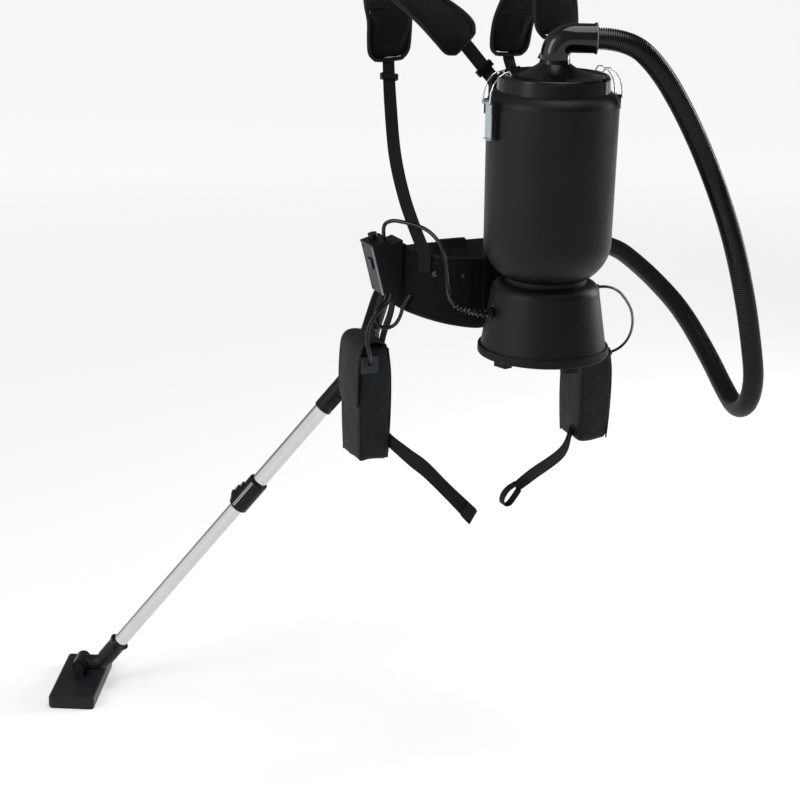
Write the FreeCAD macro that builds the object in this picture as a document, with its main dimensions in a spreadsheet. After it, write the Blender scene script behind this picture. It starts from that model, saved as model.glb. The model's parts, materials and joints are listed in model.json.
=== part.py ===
import FreeCAD, Part
import Sketcher
import math
import os

os.makedirs("parts", exist_ok=True)
doc = FreeCAD.newDocument("backpack_vacuum")
Vector = FreeCAD.Vector
Rotation = FreeCAD.Rotation
UP = Vector(0, 0, 1)

# Driving sizes in millimetres. The origin is the middle of the belt face that
# lies on the wearer's back, +X is the wearer's right and +Y is forward.
SIZES = {
    "axis_back": 165,
    "wall": 3,
    "gap": 0.3,
    "barrel_base": 43,
    "barrel_foot_r": 76,
    "barrel_foot_h": 8.6,
    "bowl_r": 80,
    "barrel_low_r": 118,
    "barrel_high_r": 120.5,
    "barrel_shoulder": 372,
    "barrel_top": 394,
    "mouth_r": 101,
    "rim_r": 106.5,
    "shoulder_r": 25,
    "inlet_r": 52,
    "skirt_top_r": 101,
    "skirt_low_r": 117,
    "skirt_round": 21,
    "skirt_low": -78,
    "ring_r": 122.5,
    "ring_h": 17,
    "foot_h": 10,
    "lid_band_h": 23,
    "lid_band_r": 103,
    "gasket_h": 2,
    "neck_r": 27,
    "neck_top": 452,
    "duct_bore": 21,
    "elbow_r": 26.5,
    "elbow_bend": 30,
    "elbow_rise": 37.7,
    "elbow_reach": 74,
    "motor_r": 62,
    "shaft_r": 5,
    "running_gap": 0.05,
    "frame_half": 54,
    "frame_low": -75,
    "frame_high": 400,
    "frame_front": 12.3,
    "frame_thick": 11.7,
    "torso_half": 172,
    "torso_round": 105,
    "belt_thick": 12,
    "pad_w": 90,
    "pad_thick": 12,
    "webbing_thick": 2,
    "hose_od": 40,
    "hose_bore": 32,
    "hose_ribs": 190,
    "cable_od": 7.5,
    "cable_right_od": 5.6,
    "upper_tube_od": 33,
    "tube_wall": 1,
    "tube_gap": 0.1,
    "wand_reach": 856,
    "handle_bend_r": 60,
    "head_w": 100,
    "head_len": 228,
    "head_h": 30,
    "sole_h": 4,
}

sheet = doc.addObject("Spreadsheet::Sheet", "Sizes")
for row, (alias, number) in enumerate(SIZES.items(), start=1):
    sheet.set("A%d" % row, alias)
    sheet.set("B%d" % row, str(number))
    sheet.setAlias("B%d" % row, alias)
doc.recompute()


class Size:
    """A number together with the sheet formula that gives it."""

    def __init__(self, number, text):
        self.number = float(number)
        self.text = text

    def joined(self, other, sign, number):
        return Size(number, "(%s %s %s)" % (self.text, sign, as_size(other).text))

    def __add__(self, other):
        return self.joined(other, "+", self.number + as_size(other).number)

    def __sub__(self, other):
        return self.joined(other, "-", self.number - as_size(other).number)

    def __mul__(self, other):
        return self.joined(other, "*", self.number * as_size(other).number)

    def __truediv__(self, other):
        return self.joined(other, "/", self.number / as_size(other).number)

    def __radd__(self, other):
        return as_size(other) + self

    def __rsub__(self, other):
        return as_size(other) - self

    def __neg__(self):
        return as_size(0) - self

    def __float__(self):
        return self.number


def as_size(value):
    if isinstance(value, Size):
        return value
    return Size(value, repr(float(value)))


def read(alias):
    """The size with this alias, as the sheet holds it."""
    return Size(sheet.get(alias), "Sizes." + alias)


S = {alias: read(alias) for alias in SIZES}
wall = S["wall"]
gap = S["gap"]
AXIS = Vector(0, -float(S["axis_back"]), 0)


def bind(thing, prop, value):
    """Ties a property to its sheet formula."""
    thing.setExpression(prop, as_size(value).text)


def place(thing, x=0, y=0, z=0, turn=None):
    thing.Placement = FreeCAD.Placement(
        Vector(float(x), float(y), float(z)), turn or Rotation())
    bind(thing, "Placement.Base.x", x)
    bind(thing, "Placement.Base.y", y)
    bind(thing, "Placement.Base.z", z)
    return thing


def arc_middle(start, end, radius, side):
    """Middle point of the arc from start to end; side +1 bulges left of the way."""
    chord = end - start
    half = chord.Length / 2
    rise = radius - math.sqrt(max(radius * radius - half * half, 0))
    left = Vector(-chord.y, chord.x, 0).normalize()
    return (start + end) * 0.5 + left * (rise * side)


def draw(body, name, role, corners):
    """Closed outline; a corner (x, y, radius, side) starts an arc to the next one."""
    sketch = body.newObject("Sketcher::SketchObject", name)
    origin = [f for f in body.Origin.OriginFeatures if f.Role == role][0]
    sketch.AttachmentSupport = (origin, [""])
    sketch.MapMode = "FlatFace"
    spots = [Vector(float(c[0]), float(c[1]), 0) for c in corners]
    ends = []
    for i, corner in enumerate(corners):
        a, b = spots[i], spots[(i + 1) % len(spots)]
        if len(corner) == 4:
            middle = arc_middle(a, b, float(corner[2]), corner[3])
            backward = corner[3] > 0
            curve = Part.Arc(b, middle, a) if backward else Part.Arc(a, middle, b)
            edge = sketch.addGeometry(curve, False)
            ends.append((edge, 2, 1) if backward else (edge, 1, 2))
        else:
            edge = sketch.addGeometry(Part.LineSegment(a, b), False)
            ends.append((edge, 1, 2))
    for i in range(len(ends)):
        after = ends[(i + 1) % len(ends)]
        sketch.addConstraint(joined_ends(ends[i], after))
    for i, corner in enumerate(corners):
        edge, first, _ = ends[i]
        for kind, value in (("DistanceX", corner[0]), ("DistanceY", corner[1])):
            rule = sketch.addConstraint(
                Sketcher.Constraint(kind, -1, 1, edge, first, float(value)))
            sketch.setExpression("Constraints[%d]" % rule, as_size(value).text)
        if len(corner) == 4:
            rule = sketch.addConstraint(
                Sketcher.Constraint("Radius", edge, float(corner[2])))
            sketch.setExpression("Constraints[%d]" % rule, as_size(corner[2]).text)
    return sketch


def joined_ends(before, after):
    return Sketcher.Constraint("Coincident", before[0], before[2], after[0], after[1])


def draw_circle(body, name, role, x, y, radius):
    sketch = body.newObject("Sketcher::SketchObject", name)
    origin = [f for f in body.Origin.OriginFeatures if f.Role == role][0]
    sketch.AttachmentSupport = (origin, [""])
    sketch.MapMode = "FlatFace"
    centre = Vector(float(x), float(y), 0)
    edge = sketch.addGeometry(Part.Circle(centre, UP, float(radius)), False)
    for kind, value in (("DistanceX", x), ("DistanceY", y)):
        rule = sketch.addConstraint(
            Sketcher.Constraint(kind, -1, 1, edge, 3, float(value)))
        sketch.setExpression("Constraints[%d]" % rule, as_size(value).text)
    rule = sketch.addConstraint(Sketcher.Constraint("Radius", edge, float(radius)))
    sketch.setExpression("Constraints[%d]" % rule, as_size(radius).text)
    return sketch


NODES = []


def node(thing, label=None):
    """Marks a finished thing as one of the exported sub-parts."""
    if label:
        thing.Label = label
    NODES.append(thing)
    return thing


def turned(label, corners):
    """A body of revolution about its own upright axis."""
    body = doc.addObject("PartDesign::Body", label)
    sketch = draw(body, label + "_outline", "XZ_Plane", corners)
    turn = body.newObject("PartDesign::Revolution", label + "_turn")
    turn.Profile = sketch
    turn.ReferenceAxis = (sketch, ["V_Axis"])
    turn.Angle = 360
    body.Tip = turn
    return body


def on_axis(body, z=0):
    return place(body, 0, -S["axis_back"], z)


def solid(kind, name, x=0, y=0, z=0, turn=None, **sizes):
    """A primitive with each size and its place tied to the sheet."""
    thing = doc.addObject("Part::" + kind, name)
    for prop, value in sizes.items():
        bind(thing, prop, value)
    return place(thing, x, y, z, turn)


def box(name, x0, x1, y0, y1, z0, z1):
    return solid("Box", name, x0, y0, z0, Length=as_size(x1) - x0,
                 Width=as_size(y1) - y0, Height=as_size(z1) - z0)


def rod(name, x, y, z, radius, height, turn=None):
    return solid("Cylinder", name, x, y, z, turn, Radius=radius, Height=height)


ALONG_X = Rotation(Vector(0, 1, 0), 90)
ALONG_Y = Rotation(Vector(1, 0, 0), -90)


def fused(name, *pieces):
    thing = doc.addObject("Part::MultiFuse", name)
    thing.Shapes = list(pieces)
    return thing


def cut(name, base, tool):
    thing = doc.addObject("Part::Cut", name)
    thing.Base = base
    thing.Tool = tool
    return thing


def group(name, *pieces):
    thing = doc.addObject("Part::Compound", name)
    thing.Links = list(pieces)
    return thing


def rounded(name, base, radius, wanted):
    """Fillets the edges for which wanted(edge) holds."""
    doc.recompute()
    thing = doc.addObject("Part::Fillet", name)
    thing.Base = base
    chosen = []
    for number, edge in enumerate(base.Shape.Edges, start=1):
        if wanted(edge):
            chosen.append((number, float(radius), float(radius)))
    thing.Edges = chosen
    return thing


def upright(edge):
    ends = edge.Vertexes
    if len(ends) < 2 or not isinstance(edge.Curve, Part.Line):
        return False
    return abs(edge.tangentAt(edge.FirstParameter).z) > 0.99


# The canister: barrel, motor housing, ring, plate and feet


def make_barrel():
    base = S["barrel_base"]
    foot_top = base + S["barrel_foot_h"]
    bowl_top = base + 79
    low, high = S["barrel_low_r"], S["barrel_high_r"]
    shoulder, top = S["barrel_shoulder"], S["barrel_top"]
    inner_bowl = S["bowl_r"] - wall
    floor = base + 10
    return on_axis(node(turned("barrel", [
        (S["inlet_r"], base),
        (S["barrel_foot_r"], base),
        (S["barrel_foot_r"], foot_top, S["bowl_r"] + 0.5, -1),
        (low, bowl_top),
        (high, shoulder, S["shoulder_r"], -1),
        (S["rim_r"], top),
        (S["mouth_r"], top),
        (S["mouth_r"], top - 6),
        (high - wall, shoulder - 1),
        (low - wall, bowl_top, inner_bowl + 0.5, 1),
        (S["barrel_foot_r"] - 3.8, floor),
        (S["inlet_r"], floor),
    ])))


def make_motor_housing():
    top = S["barrel_base"]
    under = top - wall
    low = S["skirt_low"]
    turn_top = top - S["skirt_round"]
    shoulder = S["skirt_top_r"] - S["skirt_round"]
    return on_axis(node(turned("motor_housing", [
        (S["inlet_r"], under),
        (shoulder, under, S["skirt_round"] - wall, 1),
        (S["skirt_top_r"] - wall, turn_top),
        (S["skirt_low_r"] - wall, low),
        (S["skirt_low_r"], low),
        (S["skirt_top_r"], turn_top, S["skirt_round"], -1),
        (shoulder, top),
        (S["inlet_r"], top),
    ])))


def make_bumper_ring():
    top = S["skirt_low"]
    under = top - S["ring_h"]
    outer = S["ring_r"]
    return on_axis(node(turned("bumper_ring", [
        (outer - 14, under),
        (outer - 3, under, 3, -1),
        (outer, under + 3),
        (outer, top - 3, 3, -1),
        (outer - 3, top),
        (outer - 14, top),
    ])))


def make_base_plate():
    body = doc.addObject("PartDesign::Body", "base_plate")
    disc = draw_circle(body, "plate_disc", "XY_Plane", 0, 0, S["ring_r"] - 14.2)
    pad = body.newObject("PartDesign::Pad", "plate_pad")
    pad.Profile = disc
    bind(pad, "Length", 6)
    slot = draw(body, "vent_slot", "XY_Plane", [
        (72, -4), (98, -4), (98, 4), (72, 4)])
    doc.recompute()
    pocket = body.newObject("PartDesign::Pocket", "vent")
    pocket.Profile = slot
    pocket.Type = "ThroughAll"
    pocket.Reversed = True
    doc.recompute()
    ring = body.newObject("PartDesign::PolarPattern", "vents")
    ring.Originals = [pocket]
    ring.Axis = (disc, ["N_Axis"])
    ring.Angle = 360
    ring.Occurrences = 20
    body.Tip = ring
    return on_axis(node(body), S["skirt_low"] - 14)


def make_feet():
    pads = []
    for number in range(5):
        turn = 72 * number - 90
        pad = solid("Box", "foot_%d" % number, Length=20, Width=32, Height=S["foot_h"])
        spin = Rotation(UP, turn)
        corner = AXIS + spin.multVec(Vector(95, -16, 0))
        place(pad, corner.x, corner.y,
              S["skirt_low"] - S["ring_h"] - S["foot_h"], spin)
        pads.append(rounded("foot_round_%d" % number, pad, 4, upright))
    return node(group("feet", *pads))


def make_lid():
    low = S["barrel_top"] + S["gasket_h"]
    band_top = low + S["lid_band_h"]
    outer = S["lid_band_r"]
    spigot = S["mouth_r"] - 0.5
    ring_top = band_top + 4
    neck = S["neck_top"]
    return on_axis(node(turned("lid", [
        (outer, low),
        (outer - 1.5, band_top, 6, -1),
        (outer - 5.5, ring_top + 2),
        (outer - 7.5, ring_top + 2),
        (outer - 9.5, ring_top),
        (outer - 14, ring_top, 100, 1),
        (S["neck_r"] + 1, neck - 7),
        (S["neck_r"], neck),
        (S["duct_bore"], neck),
        (S["duct_bore"], neck - 14, 104, -1),
        (outer - 15, ring_top - 4.2),
        (spigot - wall, ring_top - 4.2),
        (spigot - wall, low - 8),
        (spigot, low - 8),
        (spigot, low),
    ])))


def make_gasket():
    low = S["barrel_top"]
    return on_axis(node(turned("lid_gasket", [
        (S["mouth_r"] + 0.2, low),
        (S["rim_r"] - 1, low),
        (S["rim_r"] - 1, low + S["gasket_h"]),
        (S["mouth_r"] + 0.2, low + S["gasket_h"]),
    ])))


def make_filters():
    top = S["barrel_top"] - 6.3
    rim = S["mouth_r"] - 0.3
    bag = turned("filter_bag", [
        (0, 66), (60, 66, 45, -1), (94, 100), (97, top - 3), (rim, top - 3),
        (rim, top), (95, top), (92, 101, 43, 1), (60, 68), (0, 68)])
    on_axis(node(bag))
    floor = S["barrel_base"] + 10
    disc = turned("motor_filter", [
        (0, floor), (62, floor), (62, floor + 6), (58, floor + 10), (0, floor + 10)])
    on_axis(node(disc))


def make_motor():
    low = S["skirt_low"] - 8
    outer = S["motor_r"]
    inner = outer - wall
    hole = S["shaft_r"] + S["running_gap"]
    can = turned("motor", [
        (hole, low), (outer, low), (outer, 13), (28, 13), (28, 10), (inner, 10),
        (inner, -35), (41, -35), (41, -76), (inner, -76), (inner, -80), (hole, -80)])
    on_axis(node(can))
    shaft = turned("motor_shaft", [
        (0, low + 1), (S["shaft_r"], low + 1), (S["shaft_r"], -75), (38, -75),
        (38, -36), (S["shaft_r"], -36), (S["shaft_r"], 2), (0, 2)])
    on_axis(node(shaft))
    hub = turned("fan_disc", [
        (S["shaft_r"], -20), (54, -20), (54, -17), (14, -17), (11, 0),
        (S["shaft_r"], 0)])
    blades = [hub]
    for number in range(9):
        spin = Rotation(UP, 40 * number)
        corner = spin.multVec(Vector(10, -1.2, 0))
        blades.append(solid("Box", "blade_%d" % number, corner.x, corner.y, -17.5, spin,
                            Length=42, Width=2.4, Height=12))
    on_axis(node(fused("fan", *blades)))


def bend_way(start_z, bend_r, degrees, out):
    """A way up from the origin that bends toward +X and runs straight out."""
    turn = math.radians(degrees)
    centre = Vector(bend_r, 0, start_z)
    middle = centre + Vector(-math.cos(turn / 2), 0, math.sin(turn / 2)) * bend_r
    finish = centre + Vector(-math.cos(turn), 0, math.sin(turn)) * bend_r
    ahead = Vector(math.sin(turn), 0, math.cos(turn))
    curve = Part.Arc(Vector(0, 0, start_z), middle, finish).toShape()
    return Part.Wire([curve, Part.makeLine(finish, finish + ahead * out)])


def make_elbow():
    """A duct bend in its own frame: up from the lid, then out along +X."""
    rise, reach = float(S["elbow_rise"]), float(S["elbow_reach"])
    out_r = float(S["elbow_r"])
    bore_r = float(S["duct_bore"]) - 2.4
    bend_r = float(S["elbow_bend"])
    low = rise - bend_r
    way = bend_way(low, bend_r, 90, reach - bend_r)
    start = Vector(0, 0, low)
    ahead = Vector(1, 0, 0)
    stem = Part.makeCylinder(out_r, low)
    ring = Part.makeCylinder(out_r + 1.5, 5, Vector(reach - 5, 0, rise), ahead)
    spigot = Part.makeCylinder(float(S["duct_bore"] - S["running_gap"]), 12.3,
                               Vector(0, 0, -12.3))
    outer = pipe(way, start, UP, out_r).fuse([stem, ring, spigot])
    bore = pipe(way, start, UP, bore_r)
    ends = [Part.makeCylinder(bore_r, 20 + low, Vector(0, 0, -20)),
            Part.makeCylinder(bore_r, 6, Vector(reach - 3, 0, rise), ahead)]
    elbow = node(made("elbow", outer.cut(bore).cut(ends[0]).cut(ends[1])))
    elbow.Placement = FreeCAD.Placement(
        AXIS + UP * (float(S["neck_top"]) + 0.3), Rotation(UP, -25))


# The two over-centre latches


LATCH_R = 128
LATCH_Z = 380
BAIL_OUT = 8


def make_latch(side, name):
    """side -1 is the wearer's left; drawn with +X outward from the axis."""
    turn = Rotation(UP, 180 if side < 0 else 0)
    plate = box("bracket_plate_" + name, 108, 125, -17.5, 17.5, 314, 374)
    ear_a = box("ear_a_" + name, 120, 131.5, 15.6, 17.5, 358, 385)
    ear_b = box("ear_b_" + name, 120, 131.5, -17.5, -15.6, 358, 385)
    pin = rod("pin_" + name, LATCH_R, -17.5, LATCH_Z, 1.5, 35, ALONG_Y)
    wall_cut = solid("Cone", "bracket_cut_" + name, 0, 0, S["barrel_base"] + 79,
                     Radius1=S["barrel_low_r"] + gap,
                     Radius2=S["barrel_high_r"] + gap + 0.1, Height=270)
    bracket = cut("bracket_" + name,
                  fused("bracket_all_" + name, plate, ear_a, ear_b, pin), wall_cut)
    place(bracket, 0, -S["axis_back"], 0, turn)

    plate = box("lever_plate_" + name, 129.2, 131.2, -11.5, 11.5, 315, LATCH_Z)
    lip = box("lever_lip_" + name, 129.2, 134, -11.5, 11.5, 313, 315)
    barrel = rod("lever_barrel_" + name, LATCH_R, -11.5, LATCH_Z, 3.2, 23, ALONG_Y)
    lug_x = LATCH_R + BAIL_OUT + 3.2
    lug_a = box("lug_a_" + name, LATCH_R, lug_x, 9.5, 11.5, LATCH_Z - 3.2, LATCH_Z + 3.2)
    lug_b = box("lug_b_" + name, LATCH_R, lug_x, -11.5, -9.5, LATCH_Z - 3.2, LATCH_Z + 3.2)
    holes = fused(
        "lever_holes_" + name,
        rod("lever_bore_" + name, LATCH_R, -20, LATCH_Z, 1.56, 40, ALONG_Y),
        rod("bail_bore_" + name, LATCH_R + BAIL_OUT, -20, LATCH_Z, 1.56, 40, ALONG_Y))
    body = fused("lever_all_" + name, plate, lip, barrel, lug_a, lug_b)
    lever = node(cut("latch_lever_" + name, body, holes))
    place(lever, 0, -S["axis_back"], 0, turn)

    # the bail is one bent wire: pivot rod, two legs and the bar behind the lip
    ring_top = float(S["barrel_top"] + S["gasket_h"] + S["lid_band_h"]) + 4
    lid_r = float(S["lid_band_r"])
    half_leg = [
        Vector(LATCH_R + BAIL_OUT, 13.6, LATCH_Z),
        Vector(lid_r + 31.5, 13.6, ring_top - 25),
        Vector(lid_r + 26, 13.6, ring_top - 9),
        Vector(lid_r + 16, 13.6, ring_top + 3),
        Vector(lid_r + 4, 13.6, ring_top + 10),
        Vector(lid_r - 5, 13.6, ring_top + 11),
        Vector(lid_r - 10.9, 13.6, ring_top + 2.5)]
    other_leg = [Vector(spot.x, -spot.y, spot.z) for spot in reversed(half_leg)]
    bail = node(made("latch_bail_" + name, wire_loop(half_leg + other_leg, 1.5)))
    bail.Placement = FreeCAD.Placement(AXIS, turn)
    return bracket


def wire_loop(spots, radius):
    """A closed loop of round wire with rounded corners."""
    pieces = []
    for i, spot in enumerate(spots):
        run = spots[(i + 1) % len(spots)] - spot
        pieces.append(Part.makeCylinder(radius, run.Length, spot, run))
        pieces.append(Part.makeSphere(radius, spot))
    return pieces[0].fuse(pieces[1:])


def made(name, shape):
    """A finished shape that no primitive or sketch fits, kept as one object."""
    thing = doc.addObject("Part::Feature", name)
    thing.Shape = shape
    return thing


# The carrying frame


def make_frame():
    half = S["frame_half"]
    low, high = S["frame_low"], S["frame_high"]
    front = -S["frame_front"]
    back = front - S["frame_thick"]
    plate = box("frame_plate", -half, half, back, front, low, high)
    window = box("frame_window", -26, 26, back - 1, front + 1, 120, 280)
    ears = box("frame_ears", -80, 80, front - 3, front, -60, 40)
    top_saddle = box("saddle_top", -40, 40, -60, back + 1, 306, 346)
    low_saddle = box("saddle_low", -40, 40, -75, back + 1, -60, -20)
    body = fused("frame_all", cut("frame_open", plate, window), ears, top_saddle,
                 low_saddle)
    drum = solid("Cone", "drum_cut", 0, -S["axis_back"], S["barrel_base"] + 79,
                 Radius1=S["barrel_low_r"] + gap,
                 Radius2=S["barrel_high_r"] + gap, Height=241)
    skirt = solid("Cone", "skirt_cut", 0, -S["axis_back"], S["skirt_low"],
                  Radius1=S["skirt_low_r"] + gap,
                  Radius2=S["skirt_top_r"] + gap, Height=100)
    return node(cut("back_frame", body, fused("frame_cuts", drum, skirt)))


def make_back_pad():
    """A cushion with a crown toward the wearer and three cross channels."""
    sections = []
    for z, half, deep in ((76, 40, 8.5), (84, 47, 10.6), (110, 50, 11.7), (228, 50, 11.9),
                          (346, 50, 11.7), (372, 47, 10.6), (380, 40, 8.5)):
        sections.append(cushion_ring(
            Vector(0, -12, z), Vector(1, 0, 0), Vector(0, 1, 0), half, deep))
    body = Part.makeLoft(sections, True, False)
    for z in (150, 228, 306):
        body = body.cut(Part.makeCylinder(4, 140, Vector(-70, 1.5, z), Vector(1, 0, 0)))
    return node(made("back_pad", body))


def cushion_ring(centre, across, out, half, deep):
    """Closed section: flat behind, drawn-in sides and a crowned front."""
    edge = deep * 0.62
    a = centre - across * half
    b = centre + across * half
    inset = min(half * 0.2, 6.0)
    c = b + out * edge - across * (inset * 0.35)
    d = a + out * edge + across * (inset * 0.35)
    crown = centre + out * deep
    side_b = b + out * (edge * 0.5) + across * (inset * 0.25)
    side_a = a + out * (edge * 0.5) - across * (inset * 0.25)
    return Part.Wire([
        Part.makeLine(a, b),
        Part.Arc(b, side_b, c).toShape(),
        Part.Arc(c, crown, d).toShape(),
        Part.Arc(d, side_a, a).toShape()])


# The soft harness: pads, webbing, belt and pouches


def sections_along(spots, across_of, half_of, deep_of):
    """Cushion sections square to a smooth way through the spots."""
    rings = []
    for i, spot in enumerate(spots):
        before = spots[max(i - 1, 0)]
        after = spots[min(i + 1, len(spots) - 1)]
        way = (after - before).normalize()
        across = across_of(i)
        across = (across - way * across.dot(way)).normalize()
        out = way.cross(across).normalize()
        rings.append(cushion_ring(spot, across, out, half_of(i), deep_of(i)))
    return rings


PAD_LEFT = (
    (-102.6, -2, 461), (-112.5, 1.5, 471.8), (-129.3, 8, 490), (-154.5, 25, 514.5), (-175.8, 50, 534),
    (-190.5, 85, 549), (-193, 120, 556), (-186, 157, 545), (-168, 194, 518),
    (-152, 217, 485), (-145, 232, 445), (-142.6, 237.8, 415), (-142, 240, 400))
PAD_RIGHT = (
    (90, -2, 465), (90.7, 2, 480), (92, 8, 498), (97, 25, 533), (104, 52, 561), (111, 88, 576),
    (117, 124, 573), (122, 162, 551), (125, 200, 512),
    (123, 228, 465), (121.6, 237.5, 416), (121, 240, 400))


def make_shoulder_pad(name, way):
    """A long cushion from its rear tip, over the shoulder, to its chest end."""
    spots = [Vector(*spot) for spot in way]
    half = float(S["pad_w"]) / 2
    deep = float(S["pad_thick"])
    last = len(spots) - 1
    rings = sections_along(
        spots, lambda i: Vector(-1, 0, 0),
        lambda i: half * (0.62 if i in (0, last) else 0.93 if i in (1, last - 1) else 1),
        lambda i: deep * (0.7 if i in (0, last) else 1))
    return node(made(name, Part.makeLoft(rings, True, False)))


def ribbon(spots, acrosses, width, thick):
    """Flat webbing through the spots; one across direction for each spot."""
    rings = []
    for i, spot in enumerate(spots):
        before = spots[max(i - 1, 0)]
        after = spots[min(i + 1, len(spots) - 1)]
        way = (after - before).normalize()
        across = acrosses[i] - way * acrosses[i].dot(way)
        across = across.normalize() * (width / 2)
        out = way.cross(across).normalize() * (thick / 2)
        corners = [spot - across - out, spot + across - out, spot + across + out,
                   spot - across + out]
        rings.append(Part.makePolygon(corners + corners[:1]))
    return Part.makeLoft(rings, True, True)


def sleeve(centre, way, across, width, deep, length, hole_w, hole_d):
    """A square loop that the webbing runs through."""
    way = way.normalize()
    across = (across - way * across.dot(way)).normalize()
    out = way.cross(across)
    turn = Rotation(across, out, way, "XYZ")
    frame = FreeCAD.Placement(centre, turn)
    block = Part.makeBox(width, deep, length, Vector(-width / 2, -deep / 2, -length / 2))
    hole = Part.makeBox(hole_w, hole_d, length + 2,
                        Vector(-hole_w / 2, -hole_d / 2, -length / 2 - 1))
    loop = block.cut(hole)
    loop.Placement = frame
    return loop


def between(a, b, part):
    return a + (b - a) * part


def make_webbing():
    thick = float(S["webbing_thick"])
    straps, locks = [], []
    across = Vector(1, 0, 0)
    anchor = -float(S["frame_front"]) + thick / 2 + 0.3
    rears = (
        [Vector(-102.2, -5.9, 461.9), Vector(-97.6, -6.3, 456.8), Vector(-56, -7.6, 410),
         Vector(-47, anchor, 399), Vector(-40, anchor, 386)],
        [Vector(89.9, -6.5, 463.9), Vector(89.2, -6.8, 459), Vector(68, -7.6, 422),
         Vector(54, anchor, 399), Vector(42, anchor, 386)])
    for spots in rears:
        tip_slant = (spots[1] - spots[0]).cross(Vector(0, 1, 0))
        slant = (spots[2] - spots[1]).cross(Vector(0, 1, 0))
        straps.append(ribbon(spots, [tip_slant, slant, slant, slant, across], 26, thick))
        locks.append(sleeve(between(spots[1], spots[2], 0.88), spots[2] - spots[1],
                            slant, 36, 9, 12, 27.6, 4.0))
    node(made("shoulder_webbing", Part.makeCompound(straps)))

    straps = []
    belt_face = float(S["torso_round"]) + float(S["belt_thick"]) + thick / 2 + 0.15
    corner = Vector(float(S["torso_round"]) - float(S["torso_half"]),
                    float(S["torso_round"]), 0)
    lean = Vector(-math.sin(math.radians(50)), -math.cos(math.radians(50)), 0)
    along = Vector(-lean.y, lean.x, 0)
    spot = corner + lean * belt_face
    for side in (-1, 1):
        chest_x = 142.4 if side < 0 else 121.4
        spots = [Vector(-chest_x, 244.4, 398.4), Vector(-chest_x - 1, 241, 386),
                 Vector(-chest_x - 12, 205, 320),
                 Vector(-168, 150, 232), Vector(-172, 95, 160),
                 Vector(spot.x - 8, spot.y + 22, 100),
                 Vector(spot.x, spot.y, 62), Vector(spot.x, spot.y, 26)]
        acrosses = [Vector(-1, 0, 0), Vector(-1, 0, 0), Vector(-1, 0.2, 0),
                    Vector(-0.8, 0.7, 0)]
        acrosses += [-along, -along, -along, -along]
        if side > 0:
            spots = [Vector(-v.x, v.y, v.z) for v in spots]
            acrosses = [Vector(-v.x, v.y, v.z) for v in acrosses]
        straps.append(ribbon(spots, acrosses, 25, thick))
        locks.append(sleeve(between(spots[1], spots[2], 0.25), spots[2] - spots[1],
                            acrosses[1], 35, 9, 12, 27.5, 4.4))
    node(made("side_webbing", Part.makeCompound(straps)))
    node(made("ladder_locks", Part.makeCompound(locks)))


FLANK = 18.0


def torso_way(along, out, side):
    """Spot and outward direction on the waist outline, a length from the back middle."""
    half, bend = float(S["torso_half"]), float(S["torso_round"])
    flat = half - bend
    quarter = bend * math.pi / 2
    if along <= flat:
        spot, lean = Vector(-along, 0, 0), Vector(0, -1, 0)
    elif along <= flat + quarter:
        angle = (along - flat) / bend
        lean = Vector(-math.sin(angle), -math.cos(angle), 0)
        spot = Vector(-flat, bend, 0) + lean * bend
    elif along <= flat + quarter + FLANK:
        lean = Vector(-1, 0, 0)
        spot = Vector(-half, bend + along - flat - quarter, 0)
    elif along <= flat + 2 * quarter + FLANK:
        angle = (along - flat - quarter - FLANK) / bend
        lean = Vector(-math.cos(angle), math.sin(angle), 0)
        spot = Vector(-flat, bend + FLANK, 0) + lean * bend
    else:
        lean = Vector(0, 1, 0)
        spot = Vector(-flat + (along - flat - 2 * quarter - FLANK), 2 * bend + FLANK, 0)
    spot = spot + lean * out
    if side > 0:
        spot.x, lean.x = -spot.x, -lean.x
    return spot, lean


def rounded_strip(spot, lean, low, high, thick, soft):
    """Upright rounded section of the belt, thick along the outward direction."""
    def at(out, height):
        return spot + lean * out + UP * height
    k = soft * (1 - math.sqrt(0.5))
    runs = [
        Part.makeLine(at(soft, low), at(thick - soft, low)),
        Part.Arc(at(thick - soft, low), at(thick - k, low + k), at(thick, low + soft)),
        Part.makeLine(at(thick, low + soft), at(thick, high - soft)),
        Part.Arc(at(thick, high - soft), at(thick - k, high - k), at(thick - soft, high)),
        Part.makeLine(at(thick - soft, high), at(soft, high)),
        Part.Arc(at(soft, high), at(k, high - k), at(0, high - soft)),
        Part.makeLine(at(0, high - soft), at(0, low + soft)),
        Part.Arc(at(0, low + soft), at(k, low + k), at(soft, low)),
    ]
    return Part.Wire([r if isinstance(r, Part.Shape) else r.toShape() for r in runs])


BELT_ROWS = (
    (2, -83, 53), (40, -83, 53), (67, -82, 53), (110, -74, 56), (150, -66, 61),
    (195, -59, 68), (232, -56, 71), (250, -52, 68), (268, -42, 58), (284, -26, 42))


def make_belt(name, side):
    thick = float(S["belt_thick"])
    rings = []
    for along, low, high in BELT_ROWS:
        spot, lean = torso_way(along, 0, side)
        rings.append(rounded_strip(spot, lean, low, high, thick, 4))
    return node(made(name, Part.makeLoft(rings, True, False)))


def dome(spot, lean, radius, rise):
    """A domed rivet head standing on the spot."""
    big = (radius * radius + rise * rise) / (2 * rise)
    ball = Part.makeSphere(big, spot - lean * (big - rise))
    return ball.common(Part.makeCylinder(radius, rise + 1, spot, lean))


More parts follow.
